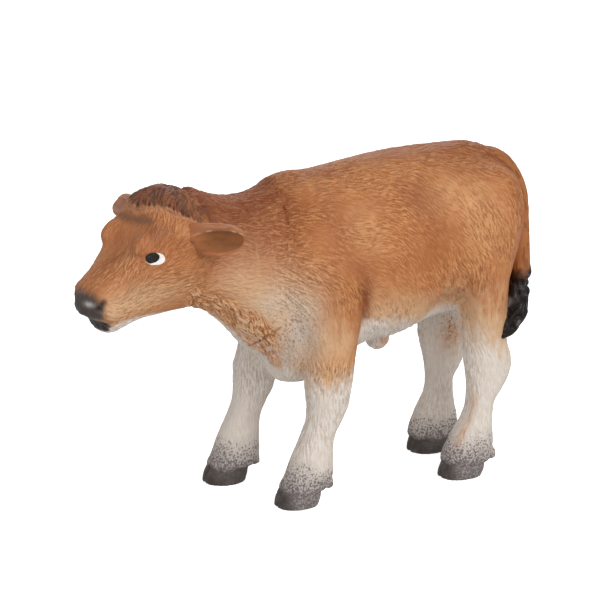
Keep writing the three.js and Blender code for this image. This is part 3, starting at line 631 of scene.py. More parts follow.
# Which way the hair lies, in side view: x, z and degrees from rearwards towards the ground.
BODY_HAIR = [
    (-22, 40, 5), (-18, 44, 25), (-16, 38, 2), (-12, 42, 0), (-12, 48, 20), (-14, 34, 25),
    (-10, 36, 5), (-8, 40, 10), (-8, 46, 12), (-6, 34, 60), (-4, 40, 50), (-3, 34, 72),
    (-5, 28, 86), (-2, 28, 84), (0, 48, 25), (-6, 20, 90), (2, 42, 8), (4, 36, 25), (3, 31, 70),
    (8, 42, 45), (10, 36, 52), (8, 30, 78), (6, 48, 30), (12, 50, 35), (16, 44, 48),
    (16, 36, 55), (18, 49, 48), (22, 44, 60), (22, 36, 72), (20, 30, 80), (25, 30, 78),
    (27, 44, 70), (30, 40, 82), (24, 24, 85), (24, 12, 90), (-5, 10, 88), (-12, 10, 88),
    (30, 50, 35),
]
HEAD_HAIR = [  # forward and up in the head's frame, degrees from rearwards towards the jaw
    (16, -6, 90), (14, -10, 10), (12, -4, -20), (11, -8, -8), (8, -2, -35), (6, 2, -60),
    (6, -5, -30), (5, -8, -8), (2, -3, -10), (3, 2, -75), (0, -8, 0), (-3, -4, 15),
    (-4, -10, 20), (6, -11, 0),
]


def lie(flat, anchors, reach):
    """Ways of the hair in a side view, blended between anchors."""
    total = np.zeros((len(flat), 2))
    for a, b, degrees in anchors:
        weight = 1e-6 + np.exp(-((flat[:, 0] - a) ** 2 + (flat[:, 1] - b) ** 2) / reach**2)
        turn = math.radians(degrees)
        total += weight[:, None] * [math.cos(turn), -math.sin(turn)]
    return unit(total)


# Carved strokes: length, width, seed.
BODY_STROKES = (1.15, 0.28, 41)
FACE_STROKES = (0.8, 0.21, 42)
CURL_STROKES = (0.85, 0.27, 44)
CAP_STROKES = (1.6, 0.27, 46)
CARVED_DEPTH = 0.1
HALVINGS = 2


def hair_ways(places, normals):
    """The way in which the hair lies at each place on the skin."""
    flat = lie(places[:, [0, 2]], BODY_HAIR, 4.2)
    ways = np.column_stack([flat[:, 0], np.zeros(len(flat)), flat[:, 1]])
    q = in_head(places)
    on_head = ramp(-8.5, -5.5, q[:, 0] - 0.25 * (q[:, 1] + 8)) * ramp(-19, -15, q[:, 1])
    if on_head.any():
        flat = lie(q[:, :2], HEAD_HAIR, 3.5)
        head_ways = -flat[:, :1] * AHEAD + flat[:, 1:] * UPWARD
        cap = on_cap(q)[:, None]
        strands = unit(AHEAD - 0.35 * UPWARD + 0.55 * np.tanh((q[:, 2:] - 1.5) / 1.5) * RIGHTWARD)
        head_ways = head_ways * (1 - cap) + strands * cap
        ways = ways * (1 - on_head[:, None]) + head_ways * on_head[:, None]
    swing = math.radians(26) * noise(places, 2.2, 21) * (1 - 0.6 * ramp(24, 16, places[:, 2]))
    ways = unit(ways - (ways * normals).sum(1, keepdims=True) * normals)
    across = np.cross(normals, ways)
    return ways * np.cos(swing)[:, None] + across * np.sin(swing)[:, None]


def on_cap(q):
    """1 on the curly cap, over places in the head's frame."""
    return (ramp(-0.1, 0.5, inside_fringe(q)) * ramp(-9.0, -5.5, q[:, 0])
            * ramp(-1.0, 1.0, q[:, 1]))


def brisket_zone(places):
    """1 on the coarse coat of the throat and brisket, whose upper edge runs down from the jaw."""
    x, y, z = places.T
    edge = np.interp(x, [-25.5, -24.4, -18.8, -14.9, -12.2, -10.0, -9.0],
                     [37.6, 36.9, 34.4, 31.7, 28.1, 22.6, 19.0])
    zone = ramp(0.9, -0.9, z - edge + 0.9 * noise(places, 2.0, 31))
    zone = zone * ramp(-8.6, -9.8, x) * ramp(-26.8, -25.2, x) * ramp(20.5, 22.5, z)
    return zone * (1 - ramp(3.0, 4.5, y) * ramp(31, 28, z))


def hair(places, normals):
    """How far the skin stands out with its carved coat, and facts of the carving for its paint.

    A groove is 1 and a ridge 0; the way is that of the hair; carved is how strong the carving is.
    """
    ways = hair_ways(places, normals)
    q = in_head(places)
    head = ramp(-9, -5, q[:, 0]) * ramp(-19, -15, q[:, 1])
    face = head * ramp(1.0, 6.0, q[:, 0])
    cap = on_cap(q) * (places[:, 0] < -14)
    body = combed(places, ways, *BODY_STROKES)
    fine = combed(places, ways, *FACE_STROKES)
    carving = np.tanh(body * (1 - face) + 0.8 * fine * face)
    low = ramp(20, 14, places[:, 2])
    strength = np.clip(0.75 + 0.75 * noise(places, 4.5, 43), 0.3, 1.15) * (1 - 0.15 * low)
    smooth_face = patches(q, [(1, (5.0, 0.5, 0), (3.0, 2.0, 9)), (1, (16, -6, 0), (2.0, 4, 9))])
    strength = strength * (1 - 0.8 * np.clip(smooth_face, 0, 1) * head)
    depth = CARVED_DEPTH - 0.045 * face - 0.03 * low
    chest = brisket_zone(places)
    if chest.any():
        fall = np.array([0.55, 0, -0.83]) - normals * (normals @ [0.55, 0, -0.83])[:, None]
        swing = 0.75 * noise(places, 1.5, 45)[:, None]
        curls = unit(fall) * np.cos(swing) + np.cross(normals, unit(fall)) * np.sin(swing)
        ways = unit(ways * (1 - chest[:, None]) + curls * chest[:, None])
        coarse = np.tanh(1.2 * combed(places, curls, *CURL_STROKES))
        carving = carving * (1 - chest) + chest * coarse
        strength = strength * (1 - chest) + 0.95 * chest
        depth = depth + 0.07 * chest
    if cap.any():
        strand = combed(places, ways, *CAP_STROKES)
        swirl = noise(places, 0.7, 47) * ramp(-0.5, -3.0, q[:, 0])
        form = np.tanh(1.6 * (strand * (1 - 0.6 * np.abs(swirl)) + 0.9 * swirl))
        carving = carving * (1 - cap) + cap * form
        strength = strength * (1 - cap) + cap
        depth = depth + 0.06 * cap
    rise = -depth * strength * (carving + 0.15) - 0.02 * fine * (1 - 0.5 * low)
    return rise, {"groove": 0.5 + 0.5 * np.clip(carving * strength, -1, 1), "way": ways,
                  "carved": np.clip(strength, 0, 1)}


def skin(field, low, high, step):
    """A net on a field's zero level, refined, with the hair modelled on it."""
    points, quads = net(field, low, high, step)
    points = settle(field, relaxed(points, quads))
    for _ in range(HALVINGS):
        points, quads = halved(points, quads)
        points = settle(field, points)
    _, rise = slope(field, points)
    normals = unit(rise)
    lift, facts = hair(points, normals)
    return points + normals * lift[:, None], quads.tolist(), facts


# ------------------------------------------------------------------------ paint on the skin

# Patches in side view: share, middle in x and z, half sizes.
PALE_CHEST = [
    (0.95, (-9.8, 29.0), (3.2, 5.5)), (0.75, (-14.5, 32.5), (6.0, 3.6)),
    (0.45, (-19.5, 37.5), (4.0, 2.6)), (0.4, (-12.0, 36.0), (6.0, 4.0)),
]
GREY_CHEST = [
    (0.95, (-9.0, 27.0), (2.4, 5.8)), (0.55, (-12.5, 33.0), (3.4, 2.4)),
    (0.12, (-18.2, 40.5), (3.5, 4.0)), (0.1, (-12.5, 37.0), (4.0, 3.5)),
]
# Lighter coat: partly the paint's own lighter tone, partly painted highlight on forms that face the
# light, such as the hip bone.
PALE_COAT_AND_HIGHLIGHT = [
    (0.95, (18.0, 47.5), (5.0, 3.2)), (0.7, (22.5, 41.0), (4.5, 6.5)),
    (0.65, (1.5, 43.5), (3.5, 5.0)), (0.25, (7.5, 51.0), (6.0, 1.8)),
    (0.3, (-6.8, 50.6), (2.4, 1.6)), (0.3, (7.0, 33.0), (6.0, 4.0)),
]
# Darker coat: partly darker paint, as on the neck's crest, and partly painted shade where forms
# turn from the light, as on top of the rump and at the thigh's rear edge beside the tail.
DARK_COAT_AND_SHADE = [
    (1.5, (-21.5, 49.5), (6.0, 4.5)), (0.8, (-13.0, 49.0), (5.5, 3.6)),
    (0.45, (-14.0, 44.0), (6.0, 4.0)), (0.45, (11.0, 48.0), (3.4, 2.4)),
    (0.38, (14.0, 41.5), (3.4, 6.0)), (0.65, (23.5, 52.2), (6.0, 1.8)),
    (0.3, (24.6, 40.2), (1.6, 4.0)), (0.3, (-3.6, 43.5), (2.2, 6.0)),
    (0.4, (29.3, 47.5), (1.6, 3.5)), (0.55, (31.6, 38.5), (1.5, 5.0)),
]
# The same on the face: forward, up, outward.
FACE_CREAM = [
    (0.75, (11.0, -7.2, 4.0), (4.5, 3.0, 4.0)), (0.5, (5.5, -8.5, 5.0), (5.5, 2.6, 4.0)),
    (0.5, (14.0, -6.6, 4.0), (1.6, 1.8, 1.6)),
]
FACE_LIGHT = [
    (0.7, (0.3, 0.4, 6.4), (0.9, 1.0, 1.5)), (0.4, (8.5, -1.0, 3.0), (3.0, 1.5, 2.0)),
]
FACE_DARK = [
    (0.5, (12.0, -1.0, 0.0), (4.5, 1.6, 2.0)), (0.4, (4.6, 1.2, 5.0), (0.8, 1.4, 1.2)),
    (0.5, (3.7, 1.4, 4.4), (0.9, 1.1, 1.0)), (0.35, (-2.0, -2.0, 7.0), (2.5, 3.0, 2.0)),
]
THIGH_FRONT = [(17.0, 8.6, 29.6), (18.2, 8.6, 28.0), (19.6, 8.0, 24.0), (20.4, 6.0, 18.0)]
# A painted shadow on the rump along the tail's root.
SHADOW_BESIDE_TAIL = [
    (25.0, 2.9, 51.8), (28.4, 2.7, 51.2), (30.5, 2.5, 50.3), (32.5, 2.3, 48.5), (34.0, 2.2, 45.5),
]
SHIN_STREAK = [
    (23.4, -8.0, 15.0), (22.3, -8.2, 12.0), (21.3, -8.2, 9.3), (19.8, -8.4, 6.6),
    (18.6, -8.2, 4.2),
]
BROW_SHADE = [(3.3, 1.9, 4.8), (3.7, 2.5, 1.0), (3.2, 2.7, -2.1), (2.7, 2.2, -3.9)]


def paint(places, facts):
    """How much of each paint lies at each place: shares from 0 to 1 by name."""
    pair = mirrored(places)
    x, y, z = pair.T
    side = pair[:, [0, 2]]
    on_left = places[:, 1] < 0
    blur = noise(places, 3.2, 51)
    speck = noise(places, 0.8, 52)
    streak = combed(places, np.array([0.1, 0, -1.0]), 3.0, 0.45, 55)
    fore = ramp(2.5, -0.5, x)
    hind = ramp(14, 16.5, x)
    # How far places are above the lines at which the coat turns white.
    over_trunk = z - (29.6 - 0.2 * np.maximum(x, 0) + 0.7 * blur + 0.5 * speck)
    over_fore = z - (20.0 + blur + 0.8 * speck + 1.1 * streak + 5.0 * (places[:, 1] > 0))
    over_hind = z - (22.6 - 0.35 * (x - 24) + blur + 0.8 * speck + 1.3 * streak)
    thigh_front = groove(pair, THIGH_FRONT, 1.1, 0.1) * ramp(17.0, 18.2, x)
    throat = ramp(3.2, 1.6, y) * ramp(-8.5, -9.5, x) * ramp(-27, -25, x) * ramp(38, 36, z)
    facts["white"] = np.maximum.reduce([
        ramp(1.6, -1.6, over_trunk) * ramp(0.0, 1.6, x) * ramp(18.5, 14.5, x),
        fore * ramp(3.0, -2.6, over_fore),
        hind * ramp(4.0, -3.0, over_hind),
        ramp(0.25, 0.7, thigh_front),
        ramp(7.4, 5.0, y) * ramp(31, 27, z),  # the insides of the legs
        0.85 * throat,
    ])
    facts["cream"] = np.maximum.reduce([
        np.minimum(patches(side, PALE_CHEST), 1),
        0.75 * soft_spot(side, (-6.2, 27.5), (2.6, 5.0)),
        0.9 * ramp(7.5, 0.5, over_trunk) * ramp(0, 3, x) * ramp(21, 16, x),
        0.95 * hind * ramp(12.0, 2.5, over_hind),
        0.95 * fore * ramp(13.5, 5.5, over_fore) * ramp(1.5, -3.4, x),
    ])
    # Lighter coat: its own tone, with painted highlight on the hip bone and along the tops of the
    # neck's ridges.
    facts["light"] = patches(side, PALE_COAT_AND_HIGHLIGHT) + sum(
        0.8 * groove(pair, line, RIDGE_WIDTH + 0.02) for line in NECK_RIDGES)
    # Darker coat: its own darker paint, with painted shade along the top of the back and in the
    # elbow crease, and a painted shadow beside the tail.
    facts["dark"] = (patches(side, DARK_COAT_AND_SHADE) + 0.4 * ramp(6.0, 1.5, y) * ramp(44, 48, z)
                     + 0.8 * groove(pair, ELBOW_CREASE, 1.6, 0.2)
                     + 0.6 * groove(pair, SHADOW_BESIDE_TAIL, 0.8))
    q = in_head(places)
    if (q[:, 0] > -6).any():
        paint_face(places, q, facts, blur, speck)
    facts["light"] = facts["light"] * (0.85 + 0.4 * blur)
    facts["dark"] = facts["dark"] * (0.9 + 0.3 * blur)
    facts["grey"] = patches(side, GREY_CHEST) * (x < 0) * (0.9 + 0.3 * blur)
    # Ochre washed over white: the chest's curls, above the knee, the sheath, the inside of the
    # far thigh, the near hind shin and the lip.
    facts["ochre"] = np.maximum.reduce([
        0.9 * brisket_zone(places) * ramp(1.8, 3.4, y),
        0.7 * soft_spot(side, (-3.2, 23.2), (3.4, 2.8)) * on_left,
        soft_spot(places, (10.3, -1.2, 22.2), (1.1, 1.6, 1.5)),
        0.75 * soft_spot(places, (25.2, 3.8, 20.4), (2.2, 3.0, 3.0)),
        0.9 * groove(places, SHIN_STREAK, 0.55),
        0.8 * soft_spot(q, (11.1, -9.0, -3.3), (1.0, 0.7, 1.5)),
    ]) * (0.85 + 0.4 * speck)
    # Dark flecks on the chest and on the inside of the far thigh.
    facts["fleck"] = np.maximum(0.8 * soft_spot(side, (-10.5, 30.0), (4.0, 8.0)) * (x < 0),
                                soft_spot(places, (24.8, 3.6, 22.0), (2.4, 3.0, 3.0)))
    facts["seam"] = groove(places, GLUE_SEAM, 0.2, 0.1)
    # Grey soot above the hooves.
    facts["soot"] = ramp(8.6, 2.0, z + blur + 0.4 * speck)
    facts["hoof"] = ramp(3.0, 2.5, z + 0.3 * noise(places, 0.9, 11))
    for name in ("white", "cream", "light", "dark", "grey", "ochre"):
        facts[name] = np.clip(facts[name], 0, 1)
    return facts


def paint_face(places, q, facts, blur, speck):
    """Lays the face's paint over the body's ahead of the jaw's rear edge, and adds its markings."""
    face = mirrored(q, axis=2)
    ahead, up, aside = face.T
    rear = np.interp(up, [-12, -10, -8.1, -6.1, -4], [0.4, -0.5, -1.8, -3.8, -5.0])
    on_face = ramp(-0.35, 0.35, ahead - rear + 0.25 * speck)
    under_jaw = np.interp(ahead, [1, 3, 7, 11, 13], [-13.6, -12.9, -11.5, -10.2, -9.9])
    below = ramp(0.3, -0.5, up - under_jaw + 0.3 * speck) * ramp(0, 3, ahead)
    chin = soft_spot(face, (12.9, -10.7, 2.2), (2.0, 0.9, 2.6))
    for name, share in (("white", below + 1.2 * chin), ("cream", patches(face, FACE_CREAM)),
                        ("light", patches(face, FACE_LIGHT)), ("dark", patches(face, FACE_DARK))):
        facts[name] = facts[name] * (1 - on_face) + on_face * np.clip(share, 0, 1)
    # A painted shadow under the fringe of the cap, and a darker patch below it on the near side.
    facts["brow"] = (groove(q, BROW_SHADE, 0.85, 0.12)
                     + 0.45 * soft_spot(q, (2.8, 1.2, -5.0), (1.7, 1.4, 1.4)))
    facts["crown"] = on_cap(q) * ramp(-8, -3.5, ahead) * (0.85 + 0.2 * blur)
    fringe = inside_fringe(q)
    facts["fringe"] = ramp(-0.15, 0.1, fringe) * ramp(0.9, 0.3, fringe) * ramp(0, 1.5, up)
    mouth_level = np.interp(ahead, [12.8, 14.2, 15.2, 16.2], [-10.0, -9.3, -8.5, -8.0])
    lip = (ramp(0.1, -0.1, up - mouth_level) * ramp(14.1, 14.8, ahead + 0.3 * speck)
           * ramp(-10.9, -10.3, up))
    brushed = ahead + 0.12 * combed(places, UPWARD, 1.2, 0.26, 54) + 0.2 * blur
    nose = ramp(14.5, 15.9, brushed) * ramp(4.2, 3.4, aside) * ramp(-9.2, -7.0, up)
    beside_lip = soft_spot(face, (14.2, -9.6, 3.2), (0.8, 0.8, 1.4))
    specks = ramp(0.15, 0.5, noise(places, 0.55, 53)) * beside_lip
    facts["nose"] = np.clip(np.maximum(nose, lip) + 0.6 * specks, 0, 1)
    facts["pit"] = np.clip(1.4 * groove(face, NOSTRIL_LINE, 0.5, 0.3)
                           + 1.2 * groove(face, MOUTH_LINE, 0.25, 0.1) + 0.9 * lip, 0, 1)
    # A painted highlight on the nose pad, on the near side.
    facts["nose_painted_highlight"] = soft_spot(q, (16.0, -5.15, -1.4), (1.6, 0.36, 0.95))


# ------------------------------------------------------------------------------- materials

def colour(code):
    """Linear colour from a six-figure screen code."""
    parts = [int(code[k:k + 2], 16) / 255 for k in (0, 2, 4)]
    return tuple(c / 12.92 if c < 0.04045 else ((c + 0.055) / 1.055) ** 2.4 for c in parts) + (1,)


# Sockets of the node that mixes colours, whose names aren't unique.
MIX_SHARE, MIX_FROM, MIX_TO, MIXED = 0, 6, 7, 2


class Paint:
    """A socket of a material, with arithmetic that adds the nodes it needs."""

    def __init__(self, tree, socket=None):
        self.tree, self.socket = tree, socket

    def node(self, kind, settings=(), values=(), out=0):
        """Adds a node: its settings first, then the values or links of its sockets."""
        made = self.tree.nodes.new(kind)
        for name, value in dict(settings).items():
            setattr(made, name, value)
        pairs = values.items() if isinstance(values, dict) else enumerate(values)
        for key, value in pairs:
            if isinstance(value, Paint):
                self.tree.links.new(value.socket, made.inputs[key])
            else:
                made.inputs[key].default_value = value
        return Paint(self.tree, made.outputs[out]) if made.outputs else made

    def result(self, operation, *others):
        """What an operation makes of this value and others."""
        return self.node("ShaderNodeMath", {"operation": operation}, (self, *others))

    def __add__(self, other):
        return self.result("ADD", other)

    def __sub__(self, other):
        return self.result("SUBTRACT", other)

    def __mul__(self, other):
        return self.result("MULTIPLY", other)

    def __rsub__(self, other):
        return self.node("ShaderNodeMath", {"operation": "SUBTRACT"}, (other, self))

    def __pow__(self, other):
        return self.result("POWER", other)

    __radd__ = __add__
    __rmul__ = __mul__

    def ramp(self, low, high, to_low=0.0, to_high=1.0):
        return self.node("ShaderNodeMapRange", {"interpolation_type": "SMOOTHSTEP"},
                         (self, low, high, to_low, to_high))

    def between(self, one, other):
        """One colour that turns into another as this share rises."""
        return self.node("ShaderNodeMix", {"data_type": "RGBA"},
                         {MIX_SHARE: self, MIX_FROM: one, MIX_TO: other}, out=MIXED)

    def under(self, *layers):
        """This colour with others laid over it in turn, each with its share."""
        tint = self
        for other, share in layers:
            tint = share.between(tint, other)
        return tint

    def noise(self, size, detail):
        """Noise from 0 to 1 in lumps of a size in millimetres, over a place in metres."""
        return self.node("ShaderNodeTexNoise", {"noise_dimensions": "3D"},
                         {"Vector": self, "Scale": 1000 / size, "Detail": detail})

    def combed(self, ways, size, length):
        """Strokes that lie along the ways of the hair, of a width and length in millimetres."""
        total = 0
        for reach in range(-3, 4):
            part = (reach * length / 7000,) * 3
            spot = self.node("ShaderNodeVectorMath", {"operation": "MULTIPLY_ADD"},
                             (ways, part, self))
            total = total + spot.noise(size, 0.0)
        return total * (1 / 7)

    def fact(self, name, kind="Fac"):
        """A share of paint, or another fact, that the skin holds."""
        return self.node("ShaderNodeAttribute", {"attribute_name": name}, out=kind)

    def finish(self, tint, roughness, relief, depth=0.00004, shine=0.35):
        """Satin vinyl under paint: the colour, its roughness and a fine relief in metres."""
        bump = self.node("ShaderNodeBump",
                         values={"Strength": 1.0, "Distance": depth, "Height": relief})
        surface = self.node("ShaderNodeBsdfPrincipled", values={
            "Base Color": tint, "Roughness": roughness, "Normal": bump,
            "Specular IOR Level": shine})
        self.node("ShaderNodeOutputMaterial", values=[surface])


def start_material(name):
    """An empty material and the place on the object, from which its nodes grow."""
    material = bpy.data.materials.new(name)
    material.use_nodes = True
    material.node_tree.nodes.clear()
    return material, Paint(material.node_tree).node("ShaderNodeTexCoord", out="Object")


COAT = colour("b27140")
COAT_RED = colour("a56439")
COAT_LIGHT = colour("ca9565")
COAT_DARK = colour("7b3b13")
CREAM = colour("d4ae87")
GREY = colour("bdb1a6")
WHITE = colour("d7ccc1")
STROKE = colour("7c441f")
STROKE_ON_WHITE = colour("ae9074")
GLEAM = colour("d29c69")
GLEAM_ON_CURLS = colour("e6c8a6")
GLEAM_ON_WHITE = colour("ebe7e1")
OCHRE = colour("c28450")
SOOT = colour("9a9191")
SOOT_DOT = colour("3c3431")
HOOF = colour("2f2820")
SEAM = colour("7a4a2a")
# Painted shadow under the fringe.
BROW_PAINTED_SHADOW = colour("5a3a2e")
CROWN = colour("6a351f")
CROWN_LINE = colour("3c1e15")
FRINGE = colour("b9825c")
NOSE = colour("403630")
# Painted highlight on the nose pad.
NOSE_PAINTED_HIGHLIGHT = colour("cfc9c2")
PIT = colour("1d1613")
EYE = colour("efece6")
PUPIL = colour("14100d")
EAR_SKIN = colour("b16d43")
EAR_RED = colour("9d5b37")
EAR_HOLLOW = colour("8b5522")
EAR_DEPTH = colour("74401c")
EAR_RIM = colour("a9714f")
EAR_LINE = colour("6a3d25")
# Painted glints on the ear's upper rim.
EAR_PAINTED_GLINT = colour("e0bda6")
TAIL_SKIN = colour("ab6d3f")
TAIL_RED = colour("9a6037")
TAIL_LINE = colour("6d3c22")
TUFT = colour("221a18")
TUFT_LINE = colour("0a0706")
# Painted highlights on the tuft's locks.
TUFT_PAINTED_HIGHLIGHT = colour("8d8583")


def coat(place, width, length):
    """The painted coat from the facts of the skin: its colour, roughness and fine relief."""
    cloud, mottle, grain = place.noise(6.0, 3.0), place.noise(1.6, 3.0), place.noise(0.5, 2.0)
    lines = place.combed(place.fact("way", "Vector"), width, length)
    carved = place.fact("carved")
    line = lines.ramp(0.5, 0.6) * carved
    crest = lines.ramp(0.5, 0.4) * carved
    dark, grey, white, ochre = (place.fact(name) for name in ("dark", "grey", "white", "ochre"))
    pale = white.result("MAXIMUM", grey) * (1 - ochre)
    shade = pale.between(STROKE, STROKE_ON_WHITE)
    gleam = pale.between(GLEAM, GLEAM_ON_WHITE).under((GLEAM_ON_CURLS, ochre))
    carving = place.fact("groove")
    in_line = carving.ramp(0.5, 1.0) * (0.08 + 0.34 * ochre) + line * (0.44 - 0.05 * pale)
    on_crest = carving.ramp(0.5, 0.0) * (0.1 + 0.5 * ochre) + crest * (0.48 - 0.3 * dark)
    soot, hoof = place.fact("soot"), place.fact("hoof")
    dots = (place.noise(0.3, 1.0) + soot * 0.2).ramp(0.6, 0.72)
    # The light and dark shares are partly the coat's own tone and partly painted highlight and
    # painted shade.
    tint = cloud.ramp(0.35, 0.65).between(COAT, COAT_RED).under(
        (COAT_LIGHT, place.fact("light") * mottle.ramp(0.2, 0.7, 0.35, 1.0)),
        (CREAM, place.fact("cream") * mottle.ramp(0.1, 0.6, 0.82, 1.0)),
        (COAT_DARK, dark),
        (GREY, grey),
        (WHITE, white),
        (OCHRE, ochre),
        (shade, in_line.result("MINIMUM", 0.85)),
        (gleam, on_crest.result("MINIMUM", 0.7)),
        (STROKE, place.noise(0.36, 1.0).ramp(0.55, 0.66) * place.fact("fleck") * 0.75),
        (SEAM, place.fact("seam") * 0.8),
        (SOOT, soot * 0.85),
        (HOOF, hoof * mottle.ramp(0.2, 0.7, 0.8, 1.0)),
        (SOOT_DOT, dots * soot.ramp(0.0, 0.3) * (0.7 - 0.4 * hoof)))
    return tint, grain.ramp(0.2, 0.8, 0.5, 0.62), 0.4 * grain + crest * 0.6 - line


def coat_material(name):
    material, place = start_material(name)
    tint, roughness, relief = coat(place, 0.25, 0.8)
    place.finish(tint, roughness, relief, 0.00005, 0.28)
    return material


def head_material(name):
    """The coat, with the face's markings placed in the head's frame: among them a painted shadow
    under the fringe and a painted highlight on the nose.
    """
    material, place = start_material(name)
    tint, roughness, relief = coat(place, 0.22, 0.7)
    spot = place.fact("head_place", "Vector")
    forward, up, aside = (place.node("ShaderNodeSeparateXYZ", values=[spot], out=axis)
                          for axis in "XYZ")

    def oval(a, b, half_a, half_b, lean=-0.486):
        """Under 1 inside an oval on the side of the face that leans up to the front."""
        from_a, from_b = forward - a, up - b
        along = from_a * math.cos(lean) + from_b * -math.sin(lean)
        above = from_a * math.sin(lean) + from_b * math.cos(lean)
        return (along * (1 / half_a)) ** 2 + (above * (1 / half_b)) ** 2

    on_side = aside.ramp(3.2, 3.8)
    eye = oval(5.4, -1.9, 1.5, 0.95).ramp(1.12, 0.96) * on_side
    pupil = oval(5.75, -1.6, 1.12, 0.88).ramp(1.1, 0.95) * on_side
    nose = place.fact("nose")
    tint = tint.under(
        (BROW_PAINTED_SHADOW, place.fact("brow") * 0.68),
        (place.fact("groove").ramp(0.1, 1.0).between(CROWN, CROWN_LINE),
         place.fact("crown") * 0.95),
        (FRINGE, place.fact("fringe") * 0.7),
        (NOSE, nose),
        (NOSE_PAINTED_HIGHLIGHT, place.fact("nose_painted_highlight") * 0.7),
        (PIT, place.fact("pit")),
        (EYE, eye),
        (PUPIL, pupil))
    roughness = roughness - nose * 0.15
    roughness = roughness + (0.22 - roughness) * pupil
    smooth = nose.result("MAXIMUM", eye).result("MAXIMUM", pupil)
    place.finish(tint, roughness, relief * (1 - smooth))
    return material


def ear_material(name):
    material, place = start_material(name)
    cloud, grain = place.noise(2.5, 3.0), place.noise(0.5, 2.0)
    tint = cloud.ramp(0.3, 0.7).between(EAR_SKIN, EAR_RED).under(
        (EAR_HOLLOW, place.fact("hollow") * 0.92),
        (EAR_DEPTH, place.fact("depth") * cloud.ramp(0.3, 0.7, 0.3, 1.0)),
        (EAR_RIM, place.fact("rim") * cloud.ramp(0.2, 0.6, 0.4, 0.9)),
        (EAR_LINE, place.fact("groove") * 0.4),
        # Pale painted glints along the upper rim.
        (EAR_PAINTED_GLINT, place.fact("glint") * 0.8))
    place.finish(tint, grain.ramp(0.2, 0.8, 0.42, 0.58), grain)
    return material


def tail_material(name):
    material, place = start_material(name)
    cloud, grain = place.noise(2.5, 3.0), place.noise(0.5, 2.0)
    carving, tuft = place.fact("groove"), place.fact("tuft")
    # The black tuft, with painted highlights on its locks.
    black = (carving * 0.8).between(TUFT, TUFT_LINE).under((TUFT_PAINTED_HIGHLIGHT, place.fact("painted_tuft_highlight") * 0.7))
    tint = cloud.ramp(0.3, 0.7).between(TAIL_SKIN, TAIL_RED).under(
        (TAIL_LINE, carving * 0.55), (black, tuft))
    place.finish(tint, grain.ramp(0.2, 0.8, 0.5, 0.6) - tuft * 0.24, grain, shine=0.16)
    return material


# ---------------------------------------------------------------------------------- pieces

def cut(mesh, axis, level, way, clear=False):
    """Cuts a mesh at a level of an axis, and clears what lies beyond it in the way given."""
    across = Vector([float(k == axis) for k in range(3)])
    geometry = mesh.verts[:] + mesh.edges[:] + mesh.faces[:]
    bmesh.ops.bisect_plane(mesh, geom=geometry, plane_co=across * level, plane_no=across * way,
                           dist=1e-6, clear_outer=clear)


def lies_on(edge, axis, level, slack):
    return all(abs(v.co[axis] - level) < slack for v in edge.verts)


def close(mesh, axis, level):
    """Fills the flat opening that lies on a level of an axis, and keeps its rim sharp."""
    rim = [e for e in mesh.edges if e.is_boundary and lies_on(e, axis, level, 1e-5)]
    if not rim:
        return
    made = bmesh.ops.triangle_fill(mesh, use_beauty=True, use_dissolve=False, edges=rim)["geom"]
    for face in made:
        if isinstance(face, bmesh.types.BMFace):
            face.smooth = False
            for edge in face.edges:
                if not all(f in made for f in edge.link_faces):
                    edge.smooth = False


def to_piece(name, points, quads, facts, node, material, trim=None):
    """A named piece from points in millimetres, trimmed at its seams and closed there."""
    mesh = bpy.data.meshes.new(name)
    mesh.from_pydata(points.tolist(), [], quads)
    mesh.polygons.foreach_set("use_smooth", [True] * len(mesh.polygons))
    for key, value in facts.items():
        kind, field = ("FLOAT_VECTOR", "vector") if value.ndim == 2 else ("FLOAT", "value")
        mesh.attributes.new(key, kind, "POINT").data.foreach_set(field, value.ravel())
    if trim:
        body = bmesh.new()
        body.from_mesh(mesh)
        trim(body)
        bmesh.ops.recalc_face_normals(body, faces=body.faces)
        body.to_mesh(mesh)
        body.free()
    mesh.transform(Matrix.Scale(0.001, 4) @ Matrix.Translation(Vector(SHIFT)))
    piece = bpy.data.objects.new(name, mesh)
    bpy.context.scene.collection.objects.link(piece)
    mesh.materials.append(material)
    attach(piece, "root")
    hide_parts(node)


def trim_head(body):
    for axis, level, way in ((0, NECK_SEAM_X, 1), (2, BRISKET_SEAM_HEIGHT, -1)):
        cut(body, axis, level, way, clear=True)
        close(body, axis, level)


def trim_torso(body):
    """Takes the head, the legs and what is ahead of the neck seam off the whole figure's skin."""
    cut(body, 2, FORE_SEAM_HEIGHT, -1, clear=True)
    cut(body, 0, NECK_SEAM_X, 1)
    cut(body, 2, BRISKET_SEAM_HEIGHT, 1)
    cut(body, 2, HIND_SEAM_HEIGHT, 1)
    gone = []
    for face in body.faces:
        middle = face.calc_center_median()
        ahead_of_seam = middle.x < NECK_SEAM_X and middle.z > BRISKET_SEAM_HEIGHT
        hind_leg = middle.x > 12 and middle.z < HIND_SEAM_HEIGHT
        if ahead_of_seam or hind_leg:
            gone.append(face)
    bmesh.ops.delete(body, geom=gone, context="FACES")
    loose = [v for v in body.verts if not v.link_faces]
    bmesh.ops.delete(body, geom=loose, context="VERTS")
    # The neck seam's opening is a step: an edge across its corner parts it in two flat ones.
    corner = [v for v in body.verts if abs(v.co.x - NECK_SEAM_X) < 1e-4
              and abs(v.co.z - BRISKET_SEAM_HEIGHT) < 1e-4 and v.is_boundary]
    if len(corner) == 2:
        body.edges.new(corner)
    close(body, 2, FORE_SEAM_HEIGHT)
    close(body, 2, HIND_SEAM_HEIGHT)
    step = [e for e in body.edges if e.is_boundary or not e.link_faces]
    openings = [[e for e in step if lies_on(e, axis, level, 1e-4)]
                for axis, level in ((2, BRISKET_SEAM_HEIGHT), (0, NECK_SEAM_X))]
    for edges in openings:
        bmesh.ops.triangle_fill(body, use_beauty=True, edges=edges)


